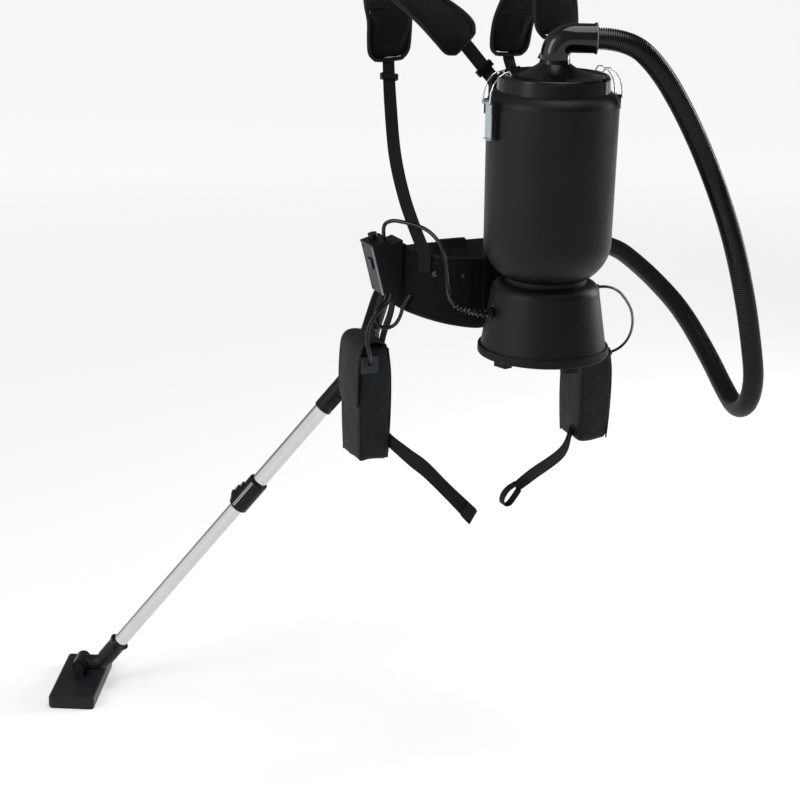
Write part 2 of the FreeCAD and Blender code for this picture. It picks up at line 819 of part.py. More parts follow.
def make_belt_fittings():
    thick = float(S["belt_thick"])
    bend = float(S["torso_round"])
    half = float(S["torso_half"])
    flat = half - bend
    domes = []
    for side in (-1, 1):
        for reach in (half - 83, half - 38):
            along = flat + bend * math.asin((reach - flat) / bend)
            spot, lean = torso_way(along, thick + 0.05, side)
            domes.append(dome(spot + UP * 24, lean, 6, 3))
    node(made("belt_rivets", Part.makeCompound(domes)))

    straps = []
    wing_end = BELT_ROWS[-1][0]
    corner_end = flat + math.pi * bend + FLANK
    sewn = [wing_end - 22 + 6 * k for k in range(6)]
    round_corner = [between(sewn[-1], corner_end, k / 8) for k in range(1, 9)]
    buckle_slot = corner_end + flat - 24
    for side in (-1, 1):
        spots, acrosses = [], []
        for along in sewn + round_corner + [buckle_slot]:
            spot, _ = torso_way(along, thick + 2, side)
            lift = 4 if along > wing_end - 4 else 6
            spots.append(spot + UP * lift)
            acrosses.append(UP)
        straps.append(ribbon(spots, acrosses, 50, float(S["webbing_thick"])))
    node(made("belt_webbing", Part.makeCompound(straps)))


def make_buckle():
    """Side-release buckle at the front middle: a socket and a pronged clip."""
    front = 2 * float(S["torso_round"]) + FLANK + float(S["belt_thick"]) + 2
    z = 4
    base = FreeCAD.Placement(Vector(0, front, z), Rotation())
    socket = box("buckle_block", -2, 34, -6, 6, -29, 29)
    hollow = box("buckle_hollow", -4, 20, -4, 4, -24, 24)
    window_a = box("buckle_window_a", 2, 18, -4, 4, 20, 32)
    window_b = box("buckle_window_b", 2, 18, -4, 4, -32, -20)
    slot = box("socket_slot", 22, 36, -1.6, 1.6, -25.6, 25.6)
    shape = cut("buckle_socket", socket, fused("buckle_cuts", hollow, window_a, window_b,
                                               slot))
    shape.Placement = base
    node(shape)
    bar = box("clip_bar", -26, -3, -6, 6, -29, 29)
    bar_slot = box("clip_slot", -28, -12, -1.6, 1.6, -25.6, 25.6)
    prong_a = box("prong_a", -5, 14, -3, 3, 13, 19)
    prong_b = box("prong_b", -5, 14, -3, 3, -19, -13)
    guide = box("prong_mid", -5, 16, -3, 3, -4, 4)
    clip = fused("buckle_clip", cut("clip_body", bar, bar_slot), prong_a, prong_b, guide)
    clip.Placement = base
    node(clip)


def pouch_ring(x0, x1, y0, y1, z, soft):
    k = soft * (1 - math.sqrt(0.5))
    corners = [
        (Vector(x0 + soft, y0, z), Vector(x1 - soft, y0, z),
         Vector(x1 - k, y0 + k, z), Vector(x1, y0 + soft, z)),
        (Vector(x1, y0 + soft, z), Vector(x1, y1 - soft, z),
         Vector(x1 - k, y1 - k, z), Vector(x1 - soft, y1, z)),
        (Vector(x1 - soft, y1, z), Vector(x0 + soft, y1, z),
         Vector(x0 + k, y1 - k, z), Vector(x0, y1 - soft, z)),
        (Vector(x0, y1 - soft, z), Vector(x0, y0 + soft, z),
         Vector(x0 + k, y0 + k, z), Vector(x0 + soft, y0, z))]
    edges = []
    for a, b, middle, c in corners:
        edges.append(Part.makeLine(a, b))
        edges.append(Part.Arc(b, middle, c).toShape())
    return Part.Wire(edges)


POUCHES = (
    ("battery_pouch_left", -252, -182, 110, 205, -376, -136),
    ("battery_pouch_right", 200, 272, 26, 120, -362, -160))


def make_pouches():
    packs = []
    for name, x0, x1, y0, y1, low, high in POUCHES:
        rings = []
        for part, inset in ((0, 9), (0.04, 3), (0.2, 0), (0.5, -1.5), (0.8, 0),
                            (0.93, 3), (1, 13)):
            z = low + (high - low) * part
            rings.append(pouch_ring(x0 + inset, x1 - inset, y0 + inset, y1 - inset, z, 12))
        bag = Part.makeLoft(rings, True, False)
        room = Part.makeBox(x1 - x0 - 16, y1 - y0 - 16, high - low - 50,
                            Vector(x0 + 8, y0 + 8, low + 10))
        node(made(name, bag.cut(room)))
        packs.append(Part.makeBox(x1 - x0 - 17, y1 - y0 - 17, high - low - 60,
                                  Vector(x0 + 8.5, y0 + 8.5, low + 10)))
    node(made("batteries", Part.makeCompound(packs)))


def make_hangers_and_leg_straps():
    thick = float(S["webbing_thick"])
    left, _ = torso_way(236, 13.5, -1)
    right, lean = torso_way(150, 14, 1)
    along = Vector(0, 1, 0)
    slant = Vector(-lean.y, lean.x, 0)
    bags = [doc.getObject(row[0]).Shape for row in POUCHES]
    straps = [
        ribbon([left + UP * -24, left + UP * -48, Vector(-189, 112, -75),
                Vector(-197, 121, -112), Vector(-201, 124, -135.6)],
               [along] * 5, 24, thick).cut(bags[0]),
        ribbon([right + UP * 10, right + UP * -58, Vector(178, 44, -90),
                Vector(209, 50, -132), Vector(216, 54, -159.6)],
               [slant, slant, slant, slant, slant], 24, thick).cut(bags[1])]
    node(made("pouch_hangers", Part.makeCompound(straps)))
    upper_left = [(-181.4, 122, -322), (-178, 100, -327), (-158, 66, -344),
                  (-136, 36, -362), (-103, 5, -401), (-47, -8, -458)]
    lower_left = [(-182.4, 122, -352), (-178, 100, -358), (-160, 66, -378),
                  (-143, 36, -394), (-111, 5, -431), (-64, -8, -485)]
    upper_right = [(199, 60, -330), (153, 20, -362), (69, -8, -390), (15, -10, -430)]
    lower_right = [(203, 60, -352), (163, 20, -384), (82, -8, -413), (22, -10, -454)]
    straps = []
    for upper, lower in ((upper_left, lower_left), (upper_right, lower_right)):
        tops = [Vector(*spot) for spot in upper]
        lows = [Vector(*spot) for spot in lower]
        rings = []
        for i, (top, low) in enumerate(zip(tops, lows)):
            way = tops[min(i + 1, len(tops) - 1)] - tops[max(i - 1, 0)]
            out = way.cross(top - low).normalize() * (thick / 2)
            corners = [low - out, top - out, top + out, low + out]
            rings.append(Part.makePolygon(corners + corners[:1]))
        bag = doc.getObject(POUCHES[len(straps)][0]).Shape
        straps.append(Part.makeLoft(rings, True, True).cut(bag))
    node(made("leg_straps", Part.makeCompound(straps)))


# The control box on the belt


CONTROL_OUT = 33
CONTROL = FreeCAD.Placement(
    Vector(-float(S["torso_half"] + S["belt_thick"]) - CONTROL_OUT, 95, 30),
    Rotation(Vector(0, 1, 0), -15))


def at_control(thing):
    thing.Placement = CONTROL
    return thing


def make_controls():
    block = box("control_block", -17.5, 17.5, -29, 29, -50, 50)
    room = box("control_room", -20, 15, -26.5, 26.5, -47.5, 47.5)
    top = box("control_top", -20, 20, -31, 31, 50, 53)
    shaft_hole = rod("shaft_hole", 0, 10, 40, 3.05, 20)
    holster = doc.addObject("PartDesign::Body", "control_holster")
    outline = draw(holster, "holster_outline", "XZ_Plane", [
        (17, -38), (23.4, -38), (44.8, 42), (17, 42)])
    pad = holster.newObject("PartDesign::Pad", "holster_pad")
    pad.Profile = outline
    pad.Length = 52
    pad.SideType = "Symmetric"
    holster.Tip = pad
    body = fused("control_all", cut("control_shell", block, room), top, holster)
    at_control(node(cut("control_box", body, shaft_hole)))

    plate = box("cover_plate", -19.5, -17.5, -29, 29, -50, 49.7)
    hole = box("cover_hole", -22, -15, -7.6, 7.6, -0.9, 22.9)
    screws = [rod("cover_screw_%d" % i, -20.6, y, z, 2.2, 1.1, ALONG_X)
              for i, (y, z) in enumerate(((-23, 42), (23, 42), (-23, -44), (23, -44)))]
    at_control(node(fused("control_cover", cut("cover_open", plate, hole), *screws)))

    paddle = box("switch_paddle", -22.5, -12, -7, 7, 0.5, 21.5)
    at_control(node(rounded("power_switch", paddle, 1.2, far_left)))
    cap = rod("knob_cap", 0, 10, 53.4, 9, 11)
    stem = rod("knob_stem", 0, 10, 46, 3, 9)
    mark = box("knob_mark", -0.6, 0.6, 13, 18.4, 64, 64.8)
    at_control(node(fused("speed_knob", cap, stem, mark)))


def far_left(edge):
    return edge.CenterOfMass.x < -22.4


# The wand and the floor tool


TOOL_END = Vector(-607.4, 643.9, -942)
WAND_UP = Vector(0.5136, -0.3451, 0.7856).normalize()
BUTTON_SIDE = Vector(-0.714, 0.333, 0.587)
CUFF_WAY = Vector(0.50, 0.50, 0.707).normalize()


def wand_placement():
    across = (BUTTON_SIDE - WAND_UP * BUTTON_SIDE.dot(WAND_UP)).normalize()
    return FreeCAD.Placement(
        TOOL_END, Rotation(across, WAND_UP.cross(across), WAND_UP, "ZXY"))


def handle_placement():
    across = (CUFF_WAY - WAND_UP * CUFF_WAY.dot(WAND_UP)).normalize()
    return FreeCAD.Placement(
        TOOL_END, Rotation(across, WAND_UP.cross(across), WAND_UP, "ZXY"))


WAND = wand_placement()
HANDLE = handle_placement()
BEND = math.degrees(WAND_UP.getAngle(CUFF_WAY))
HEAD = FreeCAD.Placement(Vector(-674, 667, -1030), Rotation(UP, -27.4))
SLEEVE_LOW = 462
PIVOT_LEVEL = 55.0


def handle_spot(along):
    """Spot on the handle's outlet line, a length past the end of its bend."""
    turn = math.radians(BEND)
    radius = float(S["handle_bend_r"])
    local = Vector(radius * (1 - math.cos(turn)), 0,
                   float(S["wand_reach"]) + radius * math.sin(turn))
    return HANDLE.multVec(local) + CUFF_WAY * along


def make_wand():
    outer = S["upper_tube_od"] / 2
    inner = outer - S["tube_wall"]
    slim = inner - S["tube_gap"]
    low = SLEEVE_LOW
    upper_low = low + 28
    upper_len = S["wand_reach"] - 4 - upper_low
    upper = cut("upper_tube", rod("upper_outer", 0, 0, upper_low, outer, upper_len),
                rod("upper_inner", 0, 0, upper_low - 10, inner, upper_len + 20))
    node(upper).Placement = WAND
    lower = cut("lower_tube", rod("lower_outer", 0, 0, 0, slim, 600),
                rod("lower_inner", 0, 0, -10, slim - S["tube_wall"], 620))
    node(lower).Placement = WAND

    grip = turned("sleeve_grip", [
        (inner, low), (19.5, low), (22, low + 3), (22, low + 76), (20, low + 79),
        (outer, low + 79), (outer, upper_low), (inner, upper_low)])
    boss = box("sleeve_boss", 18, 25, -8, 8, low + 10, low + 52)
    pocket = box("boss_pocket", 21, 26, -5.5, 5.5, low + 14, low + 44)
    bore = rod("boss_bore", 0, 0, low - 2, outer, 90)
    top = cut("boss_open", boss, fused("boss_cuts", pocket, bore))
    node(fused("adjuster_sleeve", grip, top)).Placement = WAND
    plate = box("button_plate", 25.3, 28.3, -7, 7, low + 15, low + 40)
    ridge = box("button_ridge", 28.3, 30.5, -6, 6, low + 20, low + 24)
    stem = box("button_stem", 22.4, 25.3, -5, 5, low + 15, low + 38)
    node(fused("adjuster_button", plate, ridge, stem)).Placement = WAND

    reach, bend_r = float(S["wand_reach"]), float(S["handle_bend_r"])
    low = reach - 95
    way = bend_way(reach, bend_r, BEND, 4)
    start = Vector(0, 0, reach)
    turn = math.radians(BEND)
    ahead = Vector(math.sin(turn), 0, math.cos(turn))
    finish = way.OrderedVertexes[-1].Point
    body = pipe(way, start, UP, 19.4).fuse([
        Part.makeCylinder(19.4, 95, Vector(0, 0, low)),
        Part.makeBox(10.4, 18, 52, Vector(-22.4, -9, reach - 78)),
        Part.makeCylinder(16.6, 20, finish, ahead)])
    for bore in (Part.makeCylinder(float(outer), 92, Vector(0, 0, low - 1)),
                 Part.makeCylinder(14, 96, Vector(0, 0, low)),
                 pipe(way, start, UP, 14),
                 Part.makeCylinder(14, 24, finish - ahead * 2, ahead),
                 Part.makeBox(18, 8, 14, Vector(-30, -4, reach - 66))):
        body = body.cut(bore)
    node(made("wand_handle", body)).Placement = HANDLE
    slide = box("slider_plate", -25.7, -22.7, -8, 8, reach - 72, reach - 46)
    thumb = box("slider_thumb", -27.9, -25.7, -7, 7, reach - 61, reach - 57)
    node(fused("relief_slider", slide, thumb)).Placement = HANDLE

    start = handle_spot(4.2)
    cuff = Part.makeCylinder(22.5, 46, start, CUFF_WAY)
    cuff = cuff.fuse(Part.makeCone(22.5, 20.5, 6, start + CUFF_WAY * 46, CUFF_WAY))
    bores = Part.makeCylinder(16.65, 60, start, CUFF_WAY)
    node(made("wand_cuff", cuff.cut(bores)))


def make_floor_tool():
    outer = S["upper_tube_od"] / 2
    slim = outer - S["tube_wall"] - S["tube_gap"]
    neck = turned("tool_neck", [
        (14.05, -26), (17.5, -26), (19, -24), (19, 16), (22.5, 28), (slim, 28),
        (slim, 0), (14.05, -4)])
    node(neck).Placement = WAND

    to_head = HEAD.inverse()
    socket = to_head.multVec(TOOL_END)
    rise = to_head.Rotation.multVec(WAND_UP)
    level = PIVOT_LEVEL
    corner = socket + rise * ((level - socket.z) / rise.z)
    pivot = Vector(0, corner.y, level)
    joint = socket - rise * 26.3
    forward = (corner - pivot).normalize()
    half_turn = forward.getAngle(rise) / 2
    reach = (joint - corner).Length - 0.2
    begin = corner - forward * reach
    finish = corner + rise * reach
    radius = reach / math.tan(half_turn)
    centre = corner + (rise - forward).normalize() * (radius / math.cos(half_turn))
    middle = centre + (corner - centre).normalize() * radius
    way = Part.Wire([
        Part.makeLine(pivot, begin),
        Part.Arc(begin, middle, finish).toShape(),
        Part.makeLine(finish, joint)])
    bore_way = Part.Wire([
        Part.makeLine(pivot, begin),
        Part.Arc(begin, middle, finish).toShape(),
        Part.makeLine(finish, joint + rise * 24)])
    outer_pipe = pipe(way, pivot, forward, 17)
    inner_pipe = pipe(bore_way, pivot, forward, 12)
    spigot = Part.makeCylinder(14, 22, joint, rise)
    along = Vector(0, 1, 0)
    drum = Part.makeCylinder(16, 52, pivot - along * 26, along)
    pins = Part.makeCylinder(5, 68, pivot - along * 34, along)
    port = Part.makeCylinder(10, 20, pivot, Vector(0, 0, -1))
    shape = outer_pipe.fuse([spigot, drum, pins]).cut(inner_pipe).cut(port)
    knuckle = node(made("tool_knuckle", shape))
    knuckle.Placement = HEAD

    half_w, half_l = S["head_w"] / 2, S["head_len"] / 2
    y0 = round(pivot.y, 3)
    top_edge = float(S["head_h"]) - 0.1
    block = rounded("head_round", box("head_block", -half_w, half_w, -half_l, half_l,
                                      S["sole_h"], S["head_h"]), 9, upright)
    block = rounded("head_soft", block, 7, lambda edge: edge.BoundBox.ZMin > top_edge)
    dish = box("head_dish", -35, 35, -104, 104, S["sole_h"] - 1, 7)
    brush_rooms = [brush_block("brush_room", side, 3.6, 93, S["sole_h"] - 1, 20)
                   for side in (-1, 1)]
    collar = rod("intake_collar", 0, y0, 24, 13, 11)
    intake = rod("intake_bore", 0, y0, 5, 10.5, 40)
    ears = []
    for number, ear_y in enumerate((y0 - 37, y0 + 26.9)):
        ears.append(box("head_ear_%d" % number, -9, 9, ear_y, ear_y + 10.1, 12, level))
        ears.append(rod("ear_round_%d" % number, 0, ear_y, level, 9, 10.1, ALONG_Y))
    axle = rod("axle_bore", 0, y0 - 34.5, level, 5.05, 69, ALONG_Y)
    pedal_y = 76
    pedal_room = box("pedal_room", -30, -8, pedal_y - 25, pedal_y + 25, 22, 40)
    pedal_axle = rod("pedal_axle", -31, pedal_y, 26, 1.5, 24, ALONG_X)
    body = cut("head_open", fused("head_all", block, collar, *ears),
               fused("head_cuts", dish, axle, intake, pedal_room, *brush_rooms))
    node(fused("floor_head", body, pedal_axle)).Placement = HEAD

    plate = rounded("sole_round", box("sole_block", 2.5 - half_w, half_w - 2.5,
                                      2.5 - half_l, half_l - 2.5, 0, S["sole_h"]),
                    7, upright)
    mouth = box("sole_mouth", -14, 14, -95, 95, -1, S["sole_h"] + 1)
    slots = [brush_block("brush_slot", side, 3.6, 93, -1, S["sole_h"] + 1)
             for side in (-1, 1)]
    node(cut("sole_plate", plate, fused("sole_cuts", mouth, *slots))).Placement = HEAD
    strips = [brush_block("brush", side, 2.8, 92, 0.3, 12.3) for side in (-1, 1)]
    node(group("brush_strips", *strips)).Placement = HEAD
    pedal = box("pedal_plate", -29.5, -8.5, pedal_y - 24, pedal_y + 24, 27.9, 32)
    hinge = rod("pedal_hinge", -29, pedal_y, 26, 3, 20, ALONG_X)
    pedal_bore = rod("pedal_bore", -32, pedal_y, 26, 1.56, 30, ALONG_X)
    node(cut("mode_pedal", fused("pedal_all", pedal, hinge), pedal_bore)).Placement = HEAD


def brush_block(name, side, half_thick, half_long, low, high):
    """A long block where one of the two brush rows runs."""
    middle = 42 * side
    return box("%s_%s" % (name, "front" if side < 0 else "rear"), middle - half_thick,
               middle + half_thick, -half_long, half_long, low, high)


def pipe(way, start, ahead, radius):
    """A round solid swept along a way of lines and tangent arcs."""
    section = Part.Wire(Part.makeCircle(radius, start, ahead))
    return way.makePipeShell([section], True, False)


# Hoses and cables


def routed(spots, label, share=0.45):
    """Straight runs joined by tangent arcs; prints the tightest radius."""
    spots = [Vector(*spot) for spot in spots]
    edges, radii = [], []
    here = spots[0]
    for i in range(1, len(spots) - 1):
        before, spot, after = spots[i - 1], spots[i], spots[i + 1]
        ahead, on = (spot - before).normalize(), (after - spot).normalize()
        half_turn = ahead.getAngle(on) / 2
        reach = share * min((spot - before).Length, (after - spot).Length)
        radius = reach / math.tan(half_turn)
        radii.append(radius)
        begin, finish = spot - ahead * reach, spot + on * reach
        inward = (on - ahead).normalize()
        centre = spot + inward * (radius / math.cos(half_turn))
        middle = centre - inward * radius
        edges.append(Part.makeLine(here, begin))
        edges.append(Part.Arc(begin, middle, finish).toShape())
        here = finish
    edges.append(Part.makeLine(here, spots[-1]))
    way = Part.Wire(edges)
    print("%s: length %.0f mm, radii %s" % (
        label, way.Length, " ".join("%.0f" % radius for radius in radii)))
    return way


def cable(label, spots, diameter, share=0.45):
    way = routed(spots, label, share)
    start = Vector(*spots[0])
    body = pipe(way, start, Vector(*spots[1]) - start, diameter / 2)
    full = math.pi * diameter * diameter / 4 * way.Length
    print("%s: volume %.4f of section times length" % (label, body.Volume / full))
    return body


HOSE_WAY = (
    (67.5, -196.5, 490), (118.6, -220.1, 490), (178, -230, 440), (250, -222, 345),
    (318, -215, 230), (358, -240, 110), (388, -252, -10), (412, -248, -105),
    (428, -243, -175), (436, -218, -232), (450, -160, -262), (470, -85, -246),
    (492, 15, -203), (508, 150, -140), (514, 270, -105), (523, 370, -88),
    (522, 455, -72), (492, 540, -72), (425, 605, -90), (335, 640, -112),
    (235, 640, -125), (133, 607, -112), (55, 547, -88), (-11, 481, -86),
    (-64, 425, -122))


def stations(way, count):
    """Spots, directions and steady cross axes along a way."""
    lengths = [edge.Length for edge in way.OrderedEdges]
    total = sum(lengths)
    rows = []
    cross = None
    for k in range(count + 1):
        target = total * k / count
        index = 0
        while index < len(lengths) - 1 and target > lengths[index]:
            target -= lengths[index]
            index += 1
        edge = way.OrderedEdges[index]
        target = min(target, lengths[index])
        if edge.Orientation == "Reversed":
            target = lengths[index] - target
        at = edge.getParameterByLength(target)
        spot = edge.valueAt(at)
        ahead = edge.tangentAt(at)
        if edge.Orientation == "Reversed":
            ahead = ahead * -1
        if cross is None:
            cross = ahead.cross(UP)
        cross = (cross - ahead * cross.dot(ahead)).normalize()
        rows.append((spot, ahead, cross))
    return total, rows


def ring_at(row, radius):
    spot, ahead, cross = row
    circle = Part.Circle(spot, ahead, radius)
    circle.XAxis = cross
    return Part.Wire(circle.toShape())


def make_hose():
    finish = handle_spot(56.5)
    lead = finish - CUFF_WAY * -72
    spots = HOSE_WAY + ((lead.x, lead.y, lead.z), (finish.x, finish.y, finish.z))
    way = routed(spots, "suction_hose", 0.48)
    print("hose ends", lead, finish)
    high = float(S["hose_od"]) / 2
    low = high - 2.2
    bore = float(S["hose_bore"]) / 2
    ribs = int(float(S["hose_ribs"]))
    plain = 3
    pitch_parts = ((0.0, low), (0.3, low), (0.5, high), (0.8, high))
    _, rows = stations(way, (ribs + 2 * plain) * 10)
    outer = [ring_at(rows[0], high), ring_at(rows[plain * 10 - 4], high)]
    for rib in range(ribs):
        first = (plain + rib) * 10
        for part, radius in pitch_parts:
            outer.append(ring_at(rows[first + int(part * 10)], radius))
    outer.append(ring_at(rows[(plain + ribs) * 10 + 2], high))
    outer.append(ring_at(rows[-1], high))
    inner = [ring_at(rows[k], bore) for k in range(0, len(rows), 10)]
    skin = Part.makeLoft(outer, False, True)
    lining = Part.makeLoft(inner, False, True)
    faces = skin.Faces + lining.Faces
    for row in (rows[0], rows[-1]):
        disc = Part.Face([ring_at(row, high), ring_at(row, bore)])
        faces.append(disc)
    shell = Part.Shell(faces)
    body = Part.Solid(shell)
    if body.Volume < 0:
        body.reverse()
    print("hose valid %s, volume %.0f" % (body.isValid(), body.Volume))
    if not body.isValid():
        body = body_of_sewn(faces)
    node(made("suction_hose", body))


def body_of_sewn(faces):
    shell = Part.makeShell(faces)
    shell.sewShape()
    body = Part.makeSolid(shell)
    body.fix(0.01, 0.01, 0.1)
    print("sewn hose valid %s" % body.isValid())
    return body


def make_cables():
    axis_y = -float(S["axis_back"])
    skirt = Part.makeCone(float(S["skirt_low_r"]) + 0.2, float(S["skirt_top_r"]) + 0.2, 100,
                          Vector(0, axis_y, float(S["skirt_low"])))
    nut = Part.makeCylinder(9.5, 20, Vector(-101, axis_y, -9), Vector(-1, 0, 0)).cut(skirt)
    relief = cable("spiral_relief", ((-121, -165, -9), (-136, -165, -9), (-150, -151, -5),
                                     (-160, -131, -3), (-165, -118, 1)), 12, 0.45)
    drum = Part.makeCylinder(float(S["skirt_top_r"]) + 0.2, 30, Vector(0, axis_y, 21))
    ferrule = Part.makeCylinder(5.5, 16, Vector(98.5, axis_y, 20), Vector(1, 0, 0))
    ferrule = ferrule.cut(drum)
    node(made("cable_glands", Part.makeCompound([nut.fuse(relief), ferrule.cut(skirt)])))

    node(made("control_cable", cable("control_cable", (
        (-165.1, -117.7, 1.1), (-168.7, -108.4, 4), (-166, -88, 32), (-156, -62, 64),
        (-153, -34, 92), (-163, -8, 113), (-178, 20, 121), (-195, 46, 123),
        (-212, 66, 124), (-224.3, 80, 111), (-219, 80, 84.8)), float(S["cable_od"]))))
    belt = doc.getObject("belt_wing_left").Shape
    node(made("link_cable", cable("link_cable", (
        (-204, 97, -18.7), (-201.4, 97, -28.4), (-210, 96, -46), (-228, 92, -60),
        (-230, 87, -81), (-216, 82, -95), (-196, 74, -88), (-188, 64, -66),
        (-186.5, 58, -42), (-173.5, 51.5, -22)), float(S["cable_od"])).cut(belt)))
    node(made("battery_cable_left", cable("battery_cable_left", (
        (-204, 78, -18.7), (-201.4, 78, -28.4), (-211, 79, -45), (-230, 80, -59),
        (-244, 81, -77), (-252, 80, -101), (-251, 78, -126), (-242, 83, -149.5),
        PLUG_LEFT), float(S["cable_od"]))))
    node(made("battery_cable_right", cable("battery_cable_right", (
        (114.8, -165, 20), (136, -165, 20), (172, -146, 2), (206, -118, -26),
        (238, -86, -56), (264, -52, -90), (281, -20, -121), (289, 6, -146),
        (290, 28, -165), (284.5, 41.5, -176.5), PLUG_RIGHT), float(S["cable_right_od"]))))

    node(made("battery_plugs", Part.makeCompound(make_plugs())))


PLUG_LEFT = (-236, 100, -168)
PLUG_RIGHT = (277.3, 45.5, -180)


def make_plugs():
    """A square socket panel with its plug on the left, a plain plug on the right."""
    bags = [doc.getObject(row[0]).Shape for row in POUCHES]
    way = Vector(6, 17, -18.5).normalize()
    start = Vector(*PLUG_LEFT) + way * 0.3
    collar = Part.makeCylinder(8, 3.2, Vector(start.x + 1.6, 103.6, start.z - 5.2),
                               Vector(0, 1, 0))
    panel = Part.makeBox(38, 3, 34, Vector(-252, 106.6, -190))
    left = Part.makeCylinder(6, 8, start, way).fuse([collar, panel]).cut(bags[0])
    way = Vector(-7.2, 4, -3.5).normalize()
    right = Part.makeCylinder(6, 14, Vector(*PLUG_RIGHT) + way * 0.3, way).cut(bags[1])
    return [left, right.Solids[0]]


def finish_all():
    """Checks every shape and writes one file for each sub-part."""
    doc.recompute()
    for thing in doc.Objects:
        state = [word for word in thing.State if word in ("Invalid", "Error")]
        if state:
            raise RuntimeError("%s is %s" % (thing.Name, state))
    names = set()
    for thing in NODES:
        shape = thing.Shape
        if shape.isNull() or not shape.isValid():
            raise RuntimeError("%s has a bad shape" % thing.Label)
        if not shape.Solids:
            raise RuntimeError("%s has no solid" % thing.Label)
        for solid_part in shape.Solids:
            if solid_part.Volume <= 0:
                raise RuntimeError("%s is inside out" % thing.Label)
        names.add(thing.Label)
        shape.exportStep("parts/%s.step" % thing.Label)
    print("%d sub-parts written" % len(names))


make_barrel()
make_motor_housing()
make_bumper_ring()
make_base_plate()
make_feet()
make_lid()
make_gasket()
make_filters()
make_motor()
make_elbow()
brackets = [make_latch(-1, "left"), make_latch(1, "right")]
node(group("latch_brackets", *brackets))
make_frame()
make_back_pad()
make_shoulder_pad("shoulder_pad_left", PAD_LEFT)
make_shoulder_pad("shoulder_pad_right", PAD_RIGHT)
make_webbing()
make_belt("belt_wing_left", -1)
make_belt("belt_wing_right", 1)
make_belt_fittings()
make_buckle()
make_pouches()
make_hangers_and_leg_straps()
make_controls()
make_wand()
make_floor_tool()
make_cables()
make_hose()
finish_all()
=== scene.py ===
# %% [markdown]
# # A backpack vacuum cleaner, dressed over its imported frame
#
# The frame gives the hard pieces in metres: +X is the harness's right side, +Y
# forward and +Z up. This lesson gives each surface its finish, and makes the soft
# pieces, the hose and the cables anew over the frame's plain solids.

import json
import math

import bpy
from mathutils import Matrix, Vector, noise
from mathutils.kdtree import KDTree


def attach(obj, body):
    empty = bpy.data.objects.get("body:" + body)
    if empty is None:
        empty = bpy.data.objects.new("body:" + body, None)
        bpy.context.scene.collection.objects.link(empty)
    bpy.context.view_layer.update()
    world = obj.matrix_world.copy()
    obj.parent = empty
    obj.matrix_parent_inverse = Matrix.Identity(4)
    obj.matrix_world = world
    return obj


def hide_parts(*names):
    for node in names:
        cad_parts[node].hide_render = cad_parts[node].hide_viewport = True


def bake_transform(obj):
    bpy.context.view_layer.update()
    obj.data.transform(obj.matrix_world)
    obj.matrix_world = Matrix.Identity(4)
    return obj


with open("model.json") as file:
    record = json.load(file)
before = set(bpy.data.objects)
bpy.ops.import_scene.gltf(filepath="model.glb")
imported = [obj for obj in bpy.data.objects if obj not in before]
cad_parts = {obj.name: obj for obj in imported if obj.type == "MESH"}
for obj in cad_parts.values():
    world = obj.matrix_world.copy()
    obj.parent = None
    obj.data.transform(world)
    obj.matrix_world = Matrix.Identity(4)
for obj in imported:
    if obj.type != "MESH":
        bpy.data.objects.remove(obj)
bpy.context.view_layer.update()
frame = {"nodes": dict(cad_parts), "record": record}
nodes = frame["nodes"]
scene = bpy.context.scene
print("frame nodes:", len(nodes))

# %% [markdown]
# ## The camera
#
# The lens is 2050 pixels long for an 800 pixel picture. The camera stands
# behind the harness, to its left and above the canister, looks down by 17.4
# degrees and leans by 1.25 degrees.

# %% Camera
PICTURE = 800
FOCAL = 2050
SENSOR = 36
HEADING = math.radians(-25)
PITCH = math.radians(17.4)
ROLL = math.radians(-1.25)
EYE = Vector((-1.804, -3.406, 0.963))

level_ahead = Vector((-math.sin(HEADING), math.cos(HEADING), 0))
level_right = Vector((math.cos(HEADING), math.sin(HEADING), 0))
straight_up = Vector((0, 0, 1))
look = level_ahead * math.cos(PITCH) - straight_up * math.sin(PITCH)
above = level_ahead * math.sin(PITCH) + straight_up * math.cos(PITCH)
right = level_right * math.cos(ROLL) - above * math.sin(ROLL)
top = level_right * math.sin(ROLL) + above * math.cos(ROLL)

camera_data = bpy.data.cameras.new("photo_camera")
camera_data.sensor_width = SENSOR
camera_data.lens = FOCAL / PICTURE * SENSOR
camera_data.clip_end = 60
camera = bpy.data.objects.new("photo_camera", camera_data)
scene.collection.objects.link(camera)
turn = Matrix((right, top, -look)).transposed().to_4x4()
camera.matrix_world = Matrix.Translation(EYE) @ turn
scene.camera = camera

# %% [markdown]
# ## Helpers for modelling
#
# Each piece is started from a primitive and worked in edit mode. `bake`
# puts its place into the mesh, so every piece ends at the origin, unturned.

# %% Helpers
HARNESS_BODY = "harness"


def pick(*pieces):
    """Makes the pieces the only selected ones, the first one active."""
    if bpy.context.object and bpy.context.object.mode != "OBJECT":
        bpy.ops.object.mode_set(mode="OBJECT")
    bpy.ops.object.select_all(action="DESELECT")
    for piece in pieces:
        piece.select_set(True)
    bpy.context.view_layer.objects.active = pieces[0]


def bake(piece):
    """Puts the piece's place, turn and size into its mesh."""
    pick(piece)
    bpy.ops.object.transform_apply(location=True, rotation=True, scale=True)
    return piece


def apply_all(piece):
    """Applies every modifier in order."""
    pick(piece)
    for modifier in list(piece.modifiers):
        bpy.ops.object.modifier_apply(modifier=modifier.name)


def rounded(piece, width, segments=3, angle=30):
    """Rounds every edge that is sharper than the angle, in degrees."""
    rounding = piece.modifiers.new("rounding", "BEVEL")
    rounding.width = width
    rounding.segments = segments
    rounding.limit_method = "ANGLE"
    rounding.angle_limit = math.radians(angle)
    apply_all(piece)


def smooth(piece, degrees=40):
    pick(piece)
    bpy.ops.object.shade_smooth_by_angle(angle=math.radians(degrees))


def moved_into(piece, place):
    """Moves a piece that was made at the origin to its place and bakes it."""
    piece.matrix_world = place @ piece.matrix_world
    return bake(piece)


